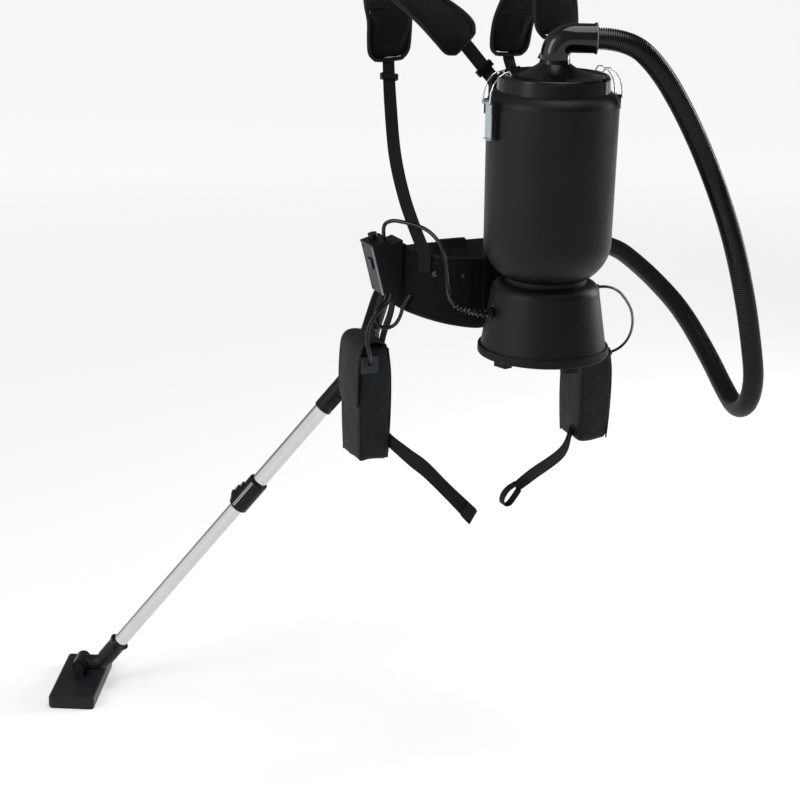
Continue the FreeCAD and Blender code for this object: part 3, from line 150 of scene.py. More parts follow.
def joined(name, pieces):
    pick(*pieces)
    if len(pieces) > 1:
        bpy.ops.object.join()
    piece = bpy.context.object
    piece.name = name
    piece.data.name = name
    return piece


def block(name, low, high, bevel=0.001):
    """A box between two corners with rounded edges."""
    low, high = Vector(low), Vector(high)
    bpy.ops.mesh.primitive_cube_add(size=1, location=(low + high) / 2)
    piece = bpy.context.object
    piece.name = name
    piece.scale = high - low
    bake(piece)
    rounded(piece, bevel)
    smooth(piece)
    return piece


def disc(name, place, radius, height, bevel=0.0005, sides=48):
    """A round piece standing on its place, along the place's Z."""
    bpy.ops.mesh.primitive_cylinder_add(
        vertices=sides, radius=radius, depth=height, location=(0, 0, height / 2))
    piece = bpy.context.object
    piece.name = name
    bake(piece)
    rounded(piece, bevel)
    moved_into(piece, place)
    smooth(piece)
    return piece


def ring(name, place, big, small, sides=96, round_sides=12):
    """A round ring of wire lying in the place's XY plane."""
    bpy.ops.mesh.primitive_torus_add(
        major_radius=big, minor_radius=small, major_segments=sides,
        minor_segments=round_sides)
    piece = bpy.context.object
    piece.name = name
    moved_into(piece, place)
    smooth(piece, 80)
    return piece


def facing(spot, ahead, across=None):
    """A place at the spot whose Z looks ahead."""
    ahead = Vector(ahead).normalized()
    across = Vector(across) if across else ahead.orthogonal()
    across = (across - ahead * across.dot(ahead)).normalized()
    side = ahead.cross(across)
    turned = Matrix((across, side, ahead)).transposed().to_4x4()
    return Matrix.Translation(Vector(spot)) @ turned


def copy_of(node_name, name):
    """A new mesh with the outline of a frame node, its split corners merged."""
    source = nodes[node_name]
    piece = bpy.data.objects.new(name, source.data.copy())
    scene.collection.objects.link(piece)
    piece.matrix_world = source.matrix_world
    piece.data.materials.clear()
    bake(piece)
    bpy.ops.object.mode_set(mode="EDIT")
    bpy.ops.mesh.select_all(action="SELECT")
    bpy.ops.mesh.remove_doubles(threshold=0.00001)
    bpy.ops.object.mode_set(mode="OBJECT")
    return piece


def route(name, spots, radius=0.0, resolution=10, roundness=5, cyclic=False):
    """A smooth curve through the given control points; a radius makes it round."""
    curve = bpy.data.curves.new(name, "CURVE")
    curve.dimensions = "3D"
    curve.resolution_u = resolution
    curve.bevel_depth = radius
    curve.bevel_resolution = roundness
    curve.use_fill_caps = True
    spline = curve.splines.new("NURBS")
    spline.points.add(len(spots) - 1)
    for point, spot in zip(spline.points, spots):
        point.co = (*spot, 1)
    spline.order_u = 3
    spline.use_endpoint_u = not cyclic
    spline.use_cyclic_u = cyclic
    piece = bpy.data.objects.new(name, curve)
    scene.collection.objects.link(piece)
    return piece


def wire(name, spots, radius, cyclic=False, resolution=6):
    """Thread, piping or thin wire through the spots, as a mesh."""
    pick(route(name, spots, radius, resolution, 2, cyclic))
    bpy.ops.object.convert(target="MESH")
    piece = bpy.context.object
    smooth(piece, 80)
    return piece


def give(piece, finish, body=HARNESS_BODY):
    """Gives a new piece its finish and attaches it to its body; a piece given no body
    stays unattached.
    """
    piece.data.materials.clear()
    piece.data.materials.append(finish_of[finish])
    if body:
        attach(piece, body)
    return piece


# %% [markdown]
# ## Finishes
#
# Node groups hold the effects that several finishes share. They put out only
# masks and heights. Each material keeps its own shader.

# %% Node group helpers
def new_group(name, inputs, outputs):
    group = bpy.data.node_groups.new(name, "ShaderNodeTree")
    for label, kind, value in inputs:
        socket = group.interface.new_socket(label, in_out="INPUT", socket_type=kind)
        if value is not None:
            socket.default_value = value
    for label, kind in outputs:
        group.interface.new_socket(label, in_out="OUTPUT", socket_type=kind)
    enter = group.nodes.new("NodeGroupInput")
    leave = group.nodes.new("NodeGroupOutput")
    return group, enter, leave


def maths(tree, operation, a, b=None):
    """A math node; a and b are sockets or numbers."""
    step = tree.nodes.new("ShaderNodeMath")
    step.operation = operation
    for socket, value in zip(step.inputs, (a, b)):
        if value is None:
            continue
        if isinstance(value, (int, float)):
            socket.default_value = value
        else:
            tree.links.new(value, socket)
    return step.outputs[0]


def mapped(tree, value, start, end, low, high, way="LINEAR"):
    """Maps a value that runs from start to end onto low to high."""
    step = tree.nodes.new("ShaderNodeMapRange")
    step.interpolation_type = way
    tree.links.new(value, step.inputs["Value"])
    for label, number in (("From Min", start), ("From Max", end), ("To Min", low),
                          ("To Max", high)):
        step.inputs[label].default_value = number
    return step.outputs["Result"]


def texture(tree, kind, vector, scale, **values):
    node = tree.nodes.new(kind)
    tree.links.new(vector, node.inputs["Vector"])
    node.inputs["Scale"].default_value = scale
    for label, value in values.items():
        node.inputs[label.replace("_", " ")].default_value = value
    return node


# %% Grain of moulded plastic and weave of cloth
FLOAT = "NodeSocketFloat"
VECTOR = "NodeSocketVector"


def grain_group():
    """Fine leather-like pebbles with a slow change over the surface."""
    group, enter, leave = new_group(
        "leather_grain", [("Vector", VECTOR, None), ("Cells", FLOAT, 700)],
        [("Height", FLOAT), ("Cloud", FLOAT)])
    cells = group.nodes.new("ShaderNodeTexVoronoi")
    cells.feature = "SMOOTH_F1"
    group.links.new(enter.outputs["Vector"], cells.inputs["Vector"])
    group.links.new(enter.outputs["Cells"], cells.inputs["Scale"])
    fine = texture(group, "ShaderNodeTexNoise", enter.outputs["Vector"], 1600,
                   Detail=2, Roughness=0.6)
    cloud = texture(group, "ShaderNodeTexNoise", enter.outputs["Vector"], 14,
                    Detail=4, Roughness=0.55)
    pebbles = maths(group, "SUBTRACT", 1.0, cells.outputs["Distance"])
    height = maths(group, "ADD", pebbles, maths(group, "MULTIPLY",
                                                fine.outputs[0], 0.35))
    group.links.new(height, leave.inputs["Height"])
    group.links.new(cloud.outputs[0], leave.inputs["Cloud"])
    return group


def weave_group():
    """Over and under threads on two slanted sets of lines."""
    group, enter, leave = new_group(
        "woven_threads", [("Vector", VECTOR, None), ("Threads", FLOAT, 900)],
        [("Height", FLOAT), ("Cloud", FLOAT)])
    parts = group.nodes.new("ShaderNodeSeparateXYZ")
    group.links.new(enter.outputs["Vector"], parts.inputs[0])
    flat = maths(group, "ADD", parts.outputs["X"], parts.outputs["Y"])
    warp = maths(group, "MULTIPLY", flat, enter.outputs["Threads"])
    weft = maths(group, "MULTIPLY", parts.outputs["Z"], enter.outputs["Threads"])
    slant = maths(group, "ADD", warp, weft)
    counter = maths(group, "SUBTRACT", warp, weft)
    waves = maths(group, "MULTIPLY", maths(group, "SINE", slant),
                  maths(group, "SINE", counter))
    fuzz = texture(group, "ShaderNodeTexNoise", enter.outputs["Vector"], 900,
                   Detail=3, Roughness=0.7)
    cloud = texture(group, "ShaderNodeTexNoise", enter.outputs["Vector"], 22,
                    Detail=5, Roughness=0.6)
    height = maths(group, "ADD", waves, fuzz.outputs[0])
    group.links.new(height, leave.inputs["Height"])
    group.links.new(cloud.outputs[0], leave.inputs["Cloud"])
    return group


GRAIN = grain_group()
WEAVE = weave_group()


finish_of = {}


def surface(name, colour, rough, group=GRAIN, fineness=700, bump=0.15, spread=0.25,
            rough_spread=0.12, metal=0.0, sheen=0.0, coat=0.0, specular=0.19,
            depth=0.0004):
    """Lists a finish: one shader with a shared group for tint, roughness and bump."""
    material = bpy.data.materials.new(name)
    material.use_nodes = True
    tree = material.node_tree
    shader = tree.nodes["Principled BSDF"]
    place = tree.nodes.new("ShaderNodeTexCoord")
    effect = tree.nodes.new("ShaderNodeGroup")
    effect.node_tree = group
    tree.links.new(place.outputs["Object"], effect.inputs["Vector"])
    effect.inputs[1].default_value = fineness
    tint = tree.nodes.new("ShaderNodeValToRGB")
    tint.color_ramp.elements[0].position = 0.3
    tint.color_ramp.elements[1].position = 0.7
    low = [channel * (1 - spread) for channel in colour]
    high = [min(channel * (1 + spread), 1) for channel in colour]
    tint.color_ramp.elements[0].color = (*low, 1)
    tint.color_ramp.elements[1].color = (*high, 1)
    tree.links.new(effect.outputs["Cloud"], tint.inputs["Fac"])
    tree.links.new(tint.outputs["Color"], shader.inputs["Base Color"])
    shift = maths(tree, "MULTIPLY", effect.outputs["Cloud"], rough_spread)
    tree.links.new(maths(tree, "ADD", shift, rough - rough_spread / 2),
                   shader.inputs["Roughness"])
    relief = tree.nodes.new("ShaderNodeBump")
    relief.inputs["Strength"].default_value = bump
    relief.inputs["Distance"].default_value = depth
    tree.links.new(effect.outputs["Height"], relief.inputs["Height"])
    tree.links.new(relief.outputs["Normal"], shader.inputs["Normal"])
    shader.inputs["Metallic"].default_value = metal
    shader.inputs["Sheen Weight"].default_value = sheen
    shader.inputs["Coat Weight"].default_value = coat
    shader.inputs["Specular IOR Level"].default_value = specular
    finish_of[name] = material
    return material


# %% [markdown]
# ## Webbing
#
# Narrow webbing is woven with close ribs across its length and a firm edge on
# each side. A strap carries its own UV map in metres, so the ribs follow it.

# %% Webbing
RIB_PITCH = 0.0017
YARN_PITCH = 0.0011


def ribbed_webbing(name, colour):
    """Webbing whose ribs lie across the strap's own UV map, in metres."""
    material = surface(name, colour, 0.66, WEAVE, 3600, bump=0.5, spread=0.3,
                       sheen=0.03, specular=0.2)
    tree = material.node_tree
    shader = tree.nodes["Principled BSDF"]
    own = tree.nodes.new("ShaderNodeUVMap")
    own.uv_map = "strap_uv"
    parts = tree.nodes.new("ShaderNodeSeparateXYZ")
    tree.links.new(own.outputs["UV"], parts.inputs[0])
    wave = maths(tree, "SINE", maths(tree, "MULTIPLY", parts.outputs["Y"],
                                     2 * math.pi / RIB_PITCH))
    yarn = maths(tree, "SINE", maths(tree, "MULTIPLY", parts.outputs["X"],
                                     2 * math.pi / YARN_PITCH))
    height = maths(tree, "ADD", wave, maths(tree, "MULTIPLY", yarn, 0.4))
    relief = tree.nodes.new("ShaderNodeBump")
    relief.inputs["Strength"].default_value = 0.8
    relief.inputs["Distance"].default_value = 0.0004
    tree.links.new(height, relief.inputs["Height"])
    first = shader.inputs["Normal"].links[0].from_socket
    tree.links.new(first, relief.inputs["Normal"])
    tree.links.new(relief.outputs["Normal"], shader.inputs["Normal"])


# %% [markdown]
# ## The list of finishes
#
# The record's slots keep their names, and each finish lists itself. Dark
# plastics differ by gloss and grain, cloths by thread and sheen.

# %% Finishes
surface("shell_charcoal", (0.0064, 0.0074, 0.0078), 0.43, fineness=620, bump=0.5,
        depth=0.0005, specular=0.19)
surface("base_black", (0.008, 0.008, 0.0085), 0.55, bump=0.2)
surface("rubber_black", (0.006, 0.006, 0.0065), 0.6, fineness=1500, bump=0.25)
surface("lid_charcoal", (0.0036, 0.0041, 0.0046), 0.22, fineness=2200, bump=0.04,
        specular=0.24)
surface("bracket_steel", (0.012, 0.013, 0.016), 0.36, metal=0.4, bump=0.1)
surface("zinc_plate", (0.50, 0.58, 0.66), 0.36, metal=0.9, fineness=260, bump=0.08,
        spread=0.16)
surface("bright_wire", (0.75, 0.76, 0.78), 0.16, metal=1.0, bump=0.03, spread=0.05)
surface("filter_cloth", (0.62, 0.58, 0.5), 0.9, WEAVE, 1800, bump=0.4, sheen=0.3)
surface("filter_foam", (0.12, 0.12, 0.12), 0.95, fineness=500, bump=0.8)
surface("motor_case", (0.55, 0.55, 0.56), 0.45, metal=0.9)
surface("shaft_steel", (0.5, 0.5, 0.51), 0.25, metal=1.0, bump=0.05, spread=0.08)
surface("fan_alloy", (0.6, 0.6, 0.62), 0.35, metal=1.0, bump=0.1, spread=0.1)
surface("frame_black", (0.0045, 0.0047, 0.0054), 0.5, bump=0.25)
surface("pad_cloth", (0.0040, 0.0044, 0.0052), 0.84, WEAVE, 2600, bump=0.6, sheen=0.03,
        specular=0.14)
surface("belt_cloth", (0.0026, 0.0028, 0.0034), 0.74, WEAVE, 2600, bump=0.55, sheen=0.02,
        specular=0.12)
surface("pouch_cloth", (0.0056, 0.0066, 0.0080), 0.58, WEAVE, 3000, bump=0.5, sheen=0.03,
        specular=0.24)
ribbed_webbing("webbing_grey", (0.0062, 0.0065, 0.0074))
surface("buckle_black", (0.006, 0.006, 0.0065), 0.34, bump=0.12)
surface("rivet_black", (0.02, 0.02, 0.022), 0.12, bump=0.02, coat=0.5)
surface("battery_case", (0.05, 0.05, 0.055), 0.5)
surface("box_black", (0.0045, 0.0048, 0.0056), 0.4, bump=0.2)
surface("cover_grey", (0.0085, 0.0095, 0.012), 0.36, bump=0.1)
surface("cover_edge", (0.22, 0.24, 0.28), 0.38, bump=0.08)
surface("switch_black", (0.006, 0.006, 0.0065), 0.22, bump=0.03)
surface("knob_black", (0.007, 0.007, 0.008), 0.25, bump=0.05)
surface("tube_chrome", (0.60, 0.61, 0.62), 0.09, metal=1.0, fineness=90, bump=0.015,
        spread=0.05, rough_spread=0.06)
surface("sleeve_black", (0.006, 0.006, 0.007), 0.2, bump=0.05)
surface("sleeve_line", (0.6, 0.61, 0.63), 0.3, metal=1.0, bump=0.05)
surface("handle_black", (0.007, 0.007, 0.008), 0.42, bump=0.3)
surface("neck_grey", (0.014, 0.015, 0.017), 0.34, bump=0.12)
surface("head_charcoal", (0.017, 0.0185, 0.021), 0.36, bump=0.2)
surface("sole_black", (0.012, 0.012, 0.0125), 0.4)
surface("bristle_black", (0.006, 0.006, 0.0065), 0.8, WEAVE, 4000, bump=1.0)
surface("cable_black", (0.004, 0.004, 0.0045), 0.2, fineness=1200, bump=0.05, coat=0.2)
surface("plug_grey", (0.040, 0.056, 0.080), 0.42, bump=0.12)
surface("hose_black", (0.0075, 0.0078, 0.0085), 0.30, bump=0.05, specular=0.5)
surface("elbow_black", (0.004, 0.004, 0.0045), 0.12, bump=0.012, coat=0.5)
surface("thread_grey", (0.030, 0.031, 0.034), 0.6, bump=0.2)
surface("piping_black", (0.006, 0.006, 0.0068), 0.5, WEAVE, 3600, bump=0.5)

slot_of = {row["node"]: row["material_slot"] for row in frame["record"]["subparts"]}
for name, piece in nodes.items():
    finish = finish_of[slot_of[name]]
    if not piece.data.materials:
        piece.data.materials.append(finish)
    for index in range(len(piece.material_slots)):
        piece.material_slots[index].material = finish
print("finishes:", len(finish_of))

# %% [markdown]
# ## Floor, lights and world
#
# A pale floor takes the wand's shadow. Two large soft lamps light the object
# from the left and from above, and a third one on the right gives the dark
# shell its bright right edge. The world is brighter on the left for glossy
# rays, as a window is, and a camera ray sees the background as white.

# %% Stage
FLOOR_LEVEL = -1.030


def make_floor():
    bpy.ops.mesh.primitive_plane_add(size=30, location=(0, 0, FLOOR_LEVEL))
    floor = bpy.context.object
    floor.name = "studio_floor"
    material = bpy.data.materials.new("floor_white")
    material.use_nodes = True
    tree = material.node_tree
    shader = tree.nodes["Principled BSDF"]
    shader.inputs["Base Color"].default_value = (0.86, 0.86, 0.86, 1)
    shader.inputs["Roughness"].default_value = 0.9
    shader.inputs["Emission Color"].default_value = (1, 1, 1, 1)
    rays = tree.nodes.new("ShaderNodeLightPath")
    seen = maths(tree, "MAXIMUM", rays.outputs["Is Camera Ray"],
                 rays.outputs["Is Glossy Ray"])
    seen = maths(tree, "MAXIMUM", seen, rays.outputs["Is Transmission Ray"])
    spot = tree.nodes.new("ShaderNodeTexCoord")
    away = tree.nodes.new("ShaderNodeVectorMath")
    away.operation = "LENGTH"
    tree.links.new(spot.outputs["Object"], away.inputs[0])
    glow = mapped(tree, away.outputs["Value"], 1.0, 6.5, 0.40, 0.74)
    tree.links.new(maths(tree, "MULTIPLY", seen, glow),
                   shader.inputs["Emission Strength"])
    floor.data.materials.append(material)


def make_world():
    world = bpy.data.worlds.new("studio")
    scene.world = world
    world.use_nodes = True
    tree = world.node_tree
    background = tree.nodes["Background"]
    background.inputs["Color"].default_value = (1, 1, 1, 1)
    rays = tree.nodes.new("ShaderNodeLightPath")
    ways = tree.nodes.new("ShaderNodeTexCoord")
    parts = tree.nodes.new("ShaderNodeSeparateXYZ")
    tree.links.new(ways.outputs["Generated"], parts.inputs[0])
    room = mapped(tree, parts.outputs["X"], -0.9, 0.5, 0.40, 0.08)
    window = mapped(tree, parts.outputs["X"], -0.55, -0.95, 0.0, 0.62, "SMOOTHSTEP")
    shine = maths(tree, "MULTIPLY", window, rays.outputs["Is Glossy Ray"])
    seen = rays.outputs["Is Camera Ray"]
    dim = maths(tree, "MULTIPLY", maths(tree, "SUBTRACT", 1.0, seen),
                maths(tree, "ADD", room, shine))
    tree.links.new(maths(tree, "ADD", seen, dim), background.inputs["Strength"])


def lamp(name, spot, target, size, power, height=None):
    light = bpy.data.lights.new(name, "AREA")
    light.shape = "RECTANGLE"
    light.size = size
    light.size_y = height or size
    light.energy = power
    holder = bpy.data.objects.new(name, light)
    scene.collection.objects.link(holder)
    holder.location = spot
    ahead = Vector(target) - Vector(spot)
    holder.rotation_euler = ahead.to_track_quat("-Z", "Y").to_euler()


make_floor()
make_world()
lamp("left_window", (-3.6, -0.6, 1.5), (0, -0.1, 0), 1.3, 46, 2.4)
lamp("ceiling", (0.2, -0.6, 3.4), (0, 0, -0.1), 2.4, 60)
lamp("right_edge", (3.0, 0.3, 0.9), (0, -0.1, 0.1), 0.7, 58, 2.2)
scene.view_settings.view_transform = "Standard"

# %% [markdown]
# ## The hose and the cables
#
# Each one follows one smooth spline through a few listed points. The hose
# is a moulded tube with fine ribs: one rib is modelled, repeated along a
# straight line, and the row is then bent along the spline.

# %% Routes
def line_of(piece):
    """The spots along a bare route, and its length."""
    mesh = bpy.data.meshes.new_from_object(piece)
    spots = [vertex.co.copy() for vertex in mesh.vertices]
    bpy.data.meshes.remove(mesh)
    return spots, sum((b - a).length for a, b in zip(spots, spots[1:]))


def repeat_along(unit, way, step, count):
    """Repeats a piece along X and bends the row along the route."""
    row = unit.modifiers.new("row", "ARRAY")
    row.count = count
    row.use_relative_offset = False
    row.use_constant_offset = True
    row.constant_offset_displace = (step, 0, 0)
    row.use_merge_vertices = True
    row.merge_threshold = step * 0.02
    bend = unit.modifiers.new("bend", "CURVE")
    bend.object = way
    bend.deform_axis = "POS_X"
    apply_all(unit)
    return unit


# %% The ribbed suction hose
HOSE_DIAMETER = 0.040
RIB_STEP = 0.0038
RIB_DEPTH = 0.0036
HOSE_SIDES = 18
HOSE_SPOTS = [
    (0.0675, -0.1965, 0.490), (0.1186, -0.2201, 0.490), (0.178, -0.230, 0.440),
    (0.250, -0.222, 0.345), (0.318, -0.215, 0.230), (0.358, -0.240, 0.110),
    (0.388, -0.252, -0.010), (0.412, -0.248, -0.105), (0.428, -0.243, -0.175),
    (0.436, -0.218, -0.232), (0.450, -0.160, -0.262), (0.470, -0.085, -0.246),
    (0.492, 0.015, -0.203), (0.508, 0.150, -0.140), (0.514, 0.270, -0.105),
    (0.523, 0.370, -0.088), (0.522, 0.455, -0.072), (0.492, 0.540, -0.072),
    (0.425, 0.605, -0.090), (0.335, 0.640, -0.112), (0.235, 0.640, -0.125),
    (0.133, 0.607, -0.112), (0.055, 0.547, -0.088), (-0.011, 0.481, -0.086),
    (-0.064, 0.425, -0.122), (-0.0750, 0.4171, -0.1367), (-0.1110, 0.3811, -0.1876)]


def make_hose():
    way = route("hose_way", HOSE_SPOTS)
    spots, length = line_of(way)
    count = round(length / RIB_STEP)
    step = length / count
    crest = HOSE_DIAMETER / 2
    valley = crest - RIB_DEPTH
    bpy.ops.mesh.primitive_circle_add(
        vertices=HOSE_SIDES, radius=valley, rotation=(0, math.radians(90), 0))
    rib = bpy.context.object
    rib.name = "ribbed_hose"
    bake(rib)
    bpy.ops.object.mode_set(mode="EDIT")
    bpy.ops.mesh.select_all(action="SELECT")
    for part, scale in ((0.34, 1.0), (0.14, crest / valley), (0.38, 1.0),
                        (0.14, valley / crest)):
        bpy.ops.mesh.extrude_edges_move(
            TRANSFORM_OT_translate={"value": (step * part, 0, 0)})
        bpy.ops.transform.resize(value=(1, scale, scale))
    bpy.ops.mesh.select_all(action="SELECT")
    bpy.ops.mesh.normals_make_consistent(inside=False)
    bpy.ops.object.mode_set(mode="OBJECT")
    hose = repeat_along(rib, way, step, count)
    bpy.data.objects.remove(way)
    smooth(hose, 30)
    give(hose, "hose_black", None)
    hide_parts("suction_hose")
    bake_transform(hose)
    print("hose ribs:", count, "length:", round(length, 3))
    return hose


make_hose()

# %% The four cables
CABLE_RADIUS = 0.00375
THIN_RADIUS = 0.0028


def make_cable(name, spots, radius, node):
    cable = route(name, spots, radius)
    cable.data.materials.append(finish_of["cable_black"])
    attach(cable, HARNESS_BODY)
    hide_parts(node)
    return cable


CONTROL_SPOTS = [
    (-0.1651, -0.1177, 0.0011), (-0.1687, -0.1084, 0.004), (-0.166, -0.088, 0.032),
    (-0.156, -0.062, 0.064), (-0.153, -0.034, 0.092), (-0.163, -0.008, 0.113),
    (-0.178, 0.020, 0.121), (-0.195, 0.046, 0.123), (-0.212, 0.066, 0.124),
    (-0.2243, 0.080, 0.111), (-0.219, 0.080, 0.0848)]
LINK_SPOTS = [
    (-0.204, 0.097, -0.0187), (-0.2014, 0.097, -0.0284), (-0.210, 0.096, -0.046),
    (-0.228, 0.092, -0.060), (-0.230, 0.087, -0.081), (-0.216, 0.082, -0.095),
    (-0.196, 0.074, -0.088), (-0.188, 0.064, -0.066), (-0.1865, 0.058, -0.042),
    (-0.1735, 0.0515, -0.022)]
LEFT_SPOTS = [
    (-0.204, 0.078, -0.0187), (-0.2014, 0.078, -0.0284), (-0.211, 0.079, -0.045),
    (-0.230, 0.080, -0.059), (-0.244, 0.081, -0.077), (-0.252, 0.080, -0.101),
    (-0.251, 0.078, -0.126), (-0.242, 0.083, -0.1495), (-0.236, 0.100, -0.168)]
RIGHT_SPOTS = [
    (0.1148, -0.165, 0.020), (0.136, -0.165, 0.020), (0.172, -0.146, 0.002),
    (0.206, -0.118, -0.026), (0.238, -0.086, -0.056), (0.264, -0.052, -0.090),
    (0.281, -0.020, -0.121), (0.289, 0.006, -0.146), (0.290, 0.028, -0.165),
    (0.2845, 0.0415, -0.1765), (0.2773, 0.0455, -0.180)]
make_cable("control_lead", CONTROL_SPOTS, CABLE_RADIUS, "control_cable")
make_cable("link_lead", LINK_SPOTS, CABLE_RADIUS, "link_cable")
make_cable("left_battery_lead", LEFT_SPOTS, CABLE_RADIUS, "battery_cable_left")
make_cable("right_battery_lead", RIGHT_SPOTS, THIN_RADIUS, "battery_cable_right")
print("cables: 4")

# %% [markdown]
# ## Straps
#
# Flat webbing keeps its width and thickness. Each strap is a grid laid between
# its two edges, which run smoothly through a few listed spots, and is
# then given its thickness. The UV map holds its length in metres.

# %% Strap helpers
WEBBING = 0.0019


def curve_spot(before, a, b, after, t):
    """A spot at a share t of the way from a to b on a smooth line."""
    return 0.5 * (2 * a + (b - before) * t
                  + (2 * before - 5 * a + 4 * b - after) * t * t
                  + (3 * a - before - 3 * b + after) * t * t * t)


def smooth_line(spots, step=0.004, partner=None):
    """Close spots on a smooth line; a partner line lends the count of each run."""
    spots = [Vector(spot) for spot in spots]
    guide = [Vector(spot) for spot in partner or spots]
    line = []
    for i in range(len(spots) - 1):
        before = spots[i - 1] if i else spots[i] * 2 - spots[i + 1]
        a, b = spots[i], spots[i + 1]
        after = spots[i + 2] if i + 2 < len(spots) else b * 2 - a
        count = max(int((guide[i + 1] - guide[i]).length / step), 2)
        line += [curve_spot(before, a, b, after, k / count) for k in range(count)]
    line.append(spots[-1])
    return line


def edges_of(spots, acrosses, width):
    """The two edges of a strap with a middle line and a cross direction at each spot."""
    tops, lows = [], []
    for i, spot in enumerate(spots):
        way = Vector(spots[min(i + 1, len(spots) - 1)]) - Vector(spots[max(i - 1, 0)])
        way.normalize()
        across = Vector(acrosses[i])
        across = (across - way * across.dot(way)).normalized() * (width / 2)
        tops.append(Vector(spot) + across)
        lows.append(Vector(spot) - across)
    return tops, lows


def strap(name, tops, lows, thick=WEBBING, columns=6, swell=0.0):
    """A grid between two edges, thickened, with its length and width as UV."""
    top_line, low_line = smooth_line(tops), smooth_line(lows, partner=tops)
    rows = len(top_line)
    bpy.ops.object.select_all(action="DESELECT")
    bpy.ops.mesh.primitive_grid_add(x_subdivisions=columns, y_subdivisions=rows - 1,
                                    size=1)
    piece = bpy.context.object
    piece.name = name
    travelled = [0.0]
    for i in range(1, rows):
        travelled.append(travelled[-1] + (top_line[i] - top_line[i - 1]).length)
    width = (top_line[0] - low_line[0]).length
    mesh = piece.data
    across_count = columns + 1
    for index, vertex in enumerate(mesh.vertices):
        row, column = divmod(index, across_count)
        part = column / columns
        a, b = low_line[row], top_line[row]
        way = (low_line[min(row + 1, rows - 1)] - low_line[max(row - 1, 0)])
        out = way.cross(b - a).normalized()
        rise = swell * math.sin(math.pi * part)
        vertex.co = a + (b - a) * part + out * rise
    while mesh.uv_layers:
        mesh.uv_layers.remove(mesh.uv_layers[0])
    layer = mesh.uv_layers.new(name="strap_uv")
    for loop in mesh.loops:
        row, column = divmod(loop.vertex_index, across_count)
        layer.data[loop.index].uv = (column / columns * width, travelled[row])
    body = piece.modifiers.new("thickness", "SOLIDIFY")
    body.thickness = thick
    body.offset = 0
    apply_all(piece)
    rounded(piece, thick * 0.3, segments=2, angle=60)
    smooth(piece, 50)
    return piece


def across_strap(name, tops, lows, slot, node, **values):
    """One or more straps joined as one piece that stands for a node."""
    parts = [strap("%s_%d" % (name, i), a, b, **values)
             for i, (a, b) in enumerate(zip(tops, lows))]
    piece = joined(name, parts)
    give(piece, slot)
    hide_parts(node)
    return piece


def stitch_row(name, spots, out, length=0.0034, gap=0.0022, thick=0.0004):
    """One short thread, copied along a smooth line through the spots."""
    curve = route(name + "_way", spots)
    _, whole = line_of(curve)
    step = length + gap
    bpy.ops.object.select_all(action="DESELECT")
    bpy.ops.mesh.primitive_cube_add(size=1, location=(length / 2, 0, 0))
    thread = bpy.context.object
    thread.name = name
    thread.scale = (length, thick * 2, thick * 2)
    bake(thread)
    bpy.ops.object.mode_set(mode="EDIT")
    bpy.ops.mesh.select_all(action="SELECT")
    bpy.ops.mesh.bevel(offset=thick * 0.6, segments=1, affect="EDGES")
    bpy.ops.object.mode_set(mode="OBJECT")
    repeat_along(thread, curve, step, max(int(whole / step), 1))
    bpy.data.objects.remove(curve)
    thread.data.transform(Matrix.Translation(Vector(out)))
    smooth(thread, 60)
    return thread


# %% Leg straps
LEFT_TOP = [(-0.1814, 0.122, -0.322), (-0.178, 0.100, -0.327), (-0.158, 0.066, -0.344),
            (-0.136, 0.036, -0.362), (-0.103, 0.005, -0.401), (-0.047, -0.008, -0.458)]
LEFT_LOW = [(-0.1824, 0.122, -0.352), (-0.178, 0.100, -0.358), (-0.160, 0.066, -0.378),
            (-0.143, 0.036, -0.394), (-0.111, 0.005, -0.431), (-0.064, -0.008, -0.485)]
RIGHT_TOP = [(0.199, 0.060, -0.330), (0.153, 0.020, -0.362), (0.069, -0.008, -0.390),
             (0.034, -0.009, -0.413)]
RIGHT_LOW = [(0.203, 0.060, -0.352), (0.163, 0.020, -0.384), (0.082, -0.008, -0.413),
             (0.044, -0.009, -0.434)]
LOOP_TOP = [(0.042, 0.001, -0.414), (0.022, 0.001, -0.424), (0.010, 0.001, -0.440),
            (0.011, 0.001, -0.455), (0.024, 0.001, -0.456), (0.036, 0.001, -0.443),
            (0.047, 0.001, -0.428)]


def make_leg_straps():
    loop_low = [(x, -0.019, z) for x, _, z in LOOP_TOP]
    straps = across_strap("leg_webbing", [LEFT_TOP, RIGHT_TOP, LOOP_TOP],
                          [LEFT_LOW, RIGHT_LOW, loop_low], "webbing_grey", "leg_straps")
    tab_top = [(-0.066, -0.010, -0.441), (-0.050, -0.0105, -0.457),
               (-0.046, -0.0108, -0.461)]
    tab_low = [(-0.083, -0.010, -0.466), (-0.067, -0.0105, -0.484),
               (-0.063, -0.0108, -0.488)]
    tab = strap("leg_tab", tab_top, tab_low, 0.0026)
    give(tab, "webbing_grey")
    seam = stitch_row("leg_tab_seam", [(-0.0655, -0.0116, -0.4440),
                                       (-0.0745, -0.0116, -0.4570),
                                       (-0.0820, -0.0116, -0.4680)], (0, -0.0006, 0))
    give(seam, "thread_grey")
    return straps


make_leg_straps()
print("leg straps made")

# %% Shoulder, side and hanger webbing
REAR_WIDTH = 0.026
SIDE_WIDTH = 0.025
HANGER_WIDTH = 0.024
WAIST_WIDTH = 0.050
ANCHOR_DEPTH = -0.0110
BELT_CORNER = Vector((-0.067, 0.105, 0))
LOCK_REACH = 0.11815
LOCK_TURN = math.radians(50)


def mirrored(spots):
    """The same spots or directions on the other side of the middle."""
    return [Vector((-spot.x, spot.y, spot.z)) for spot in spots]


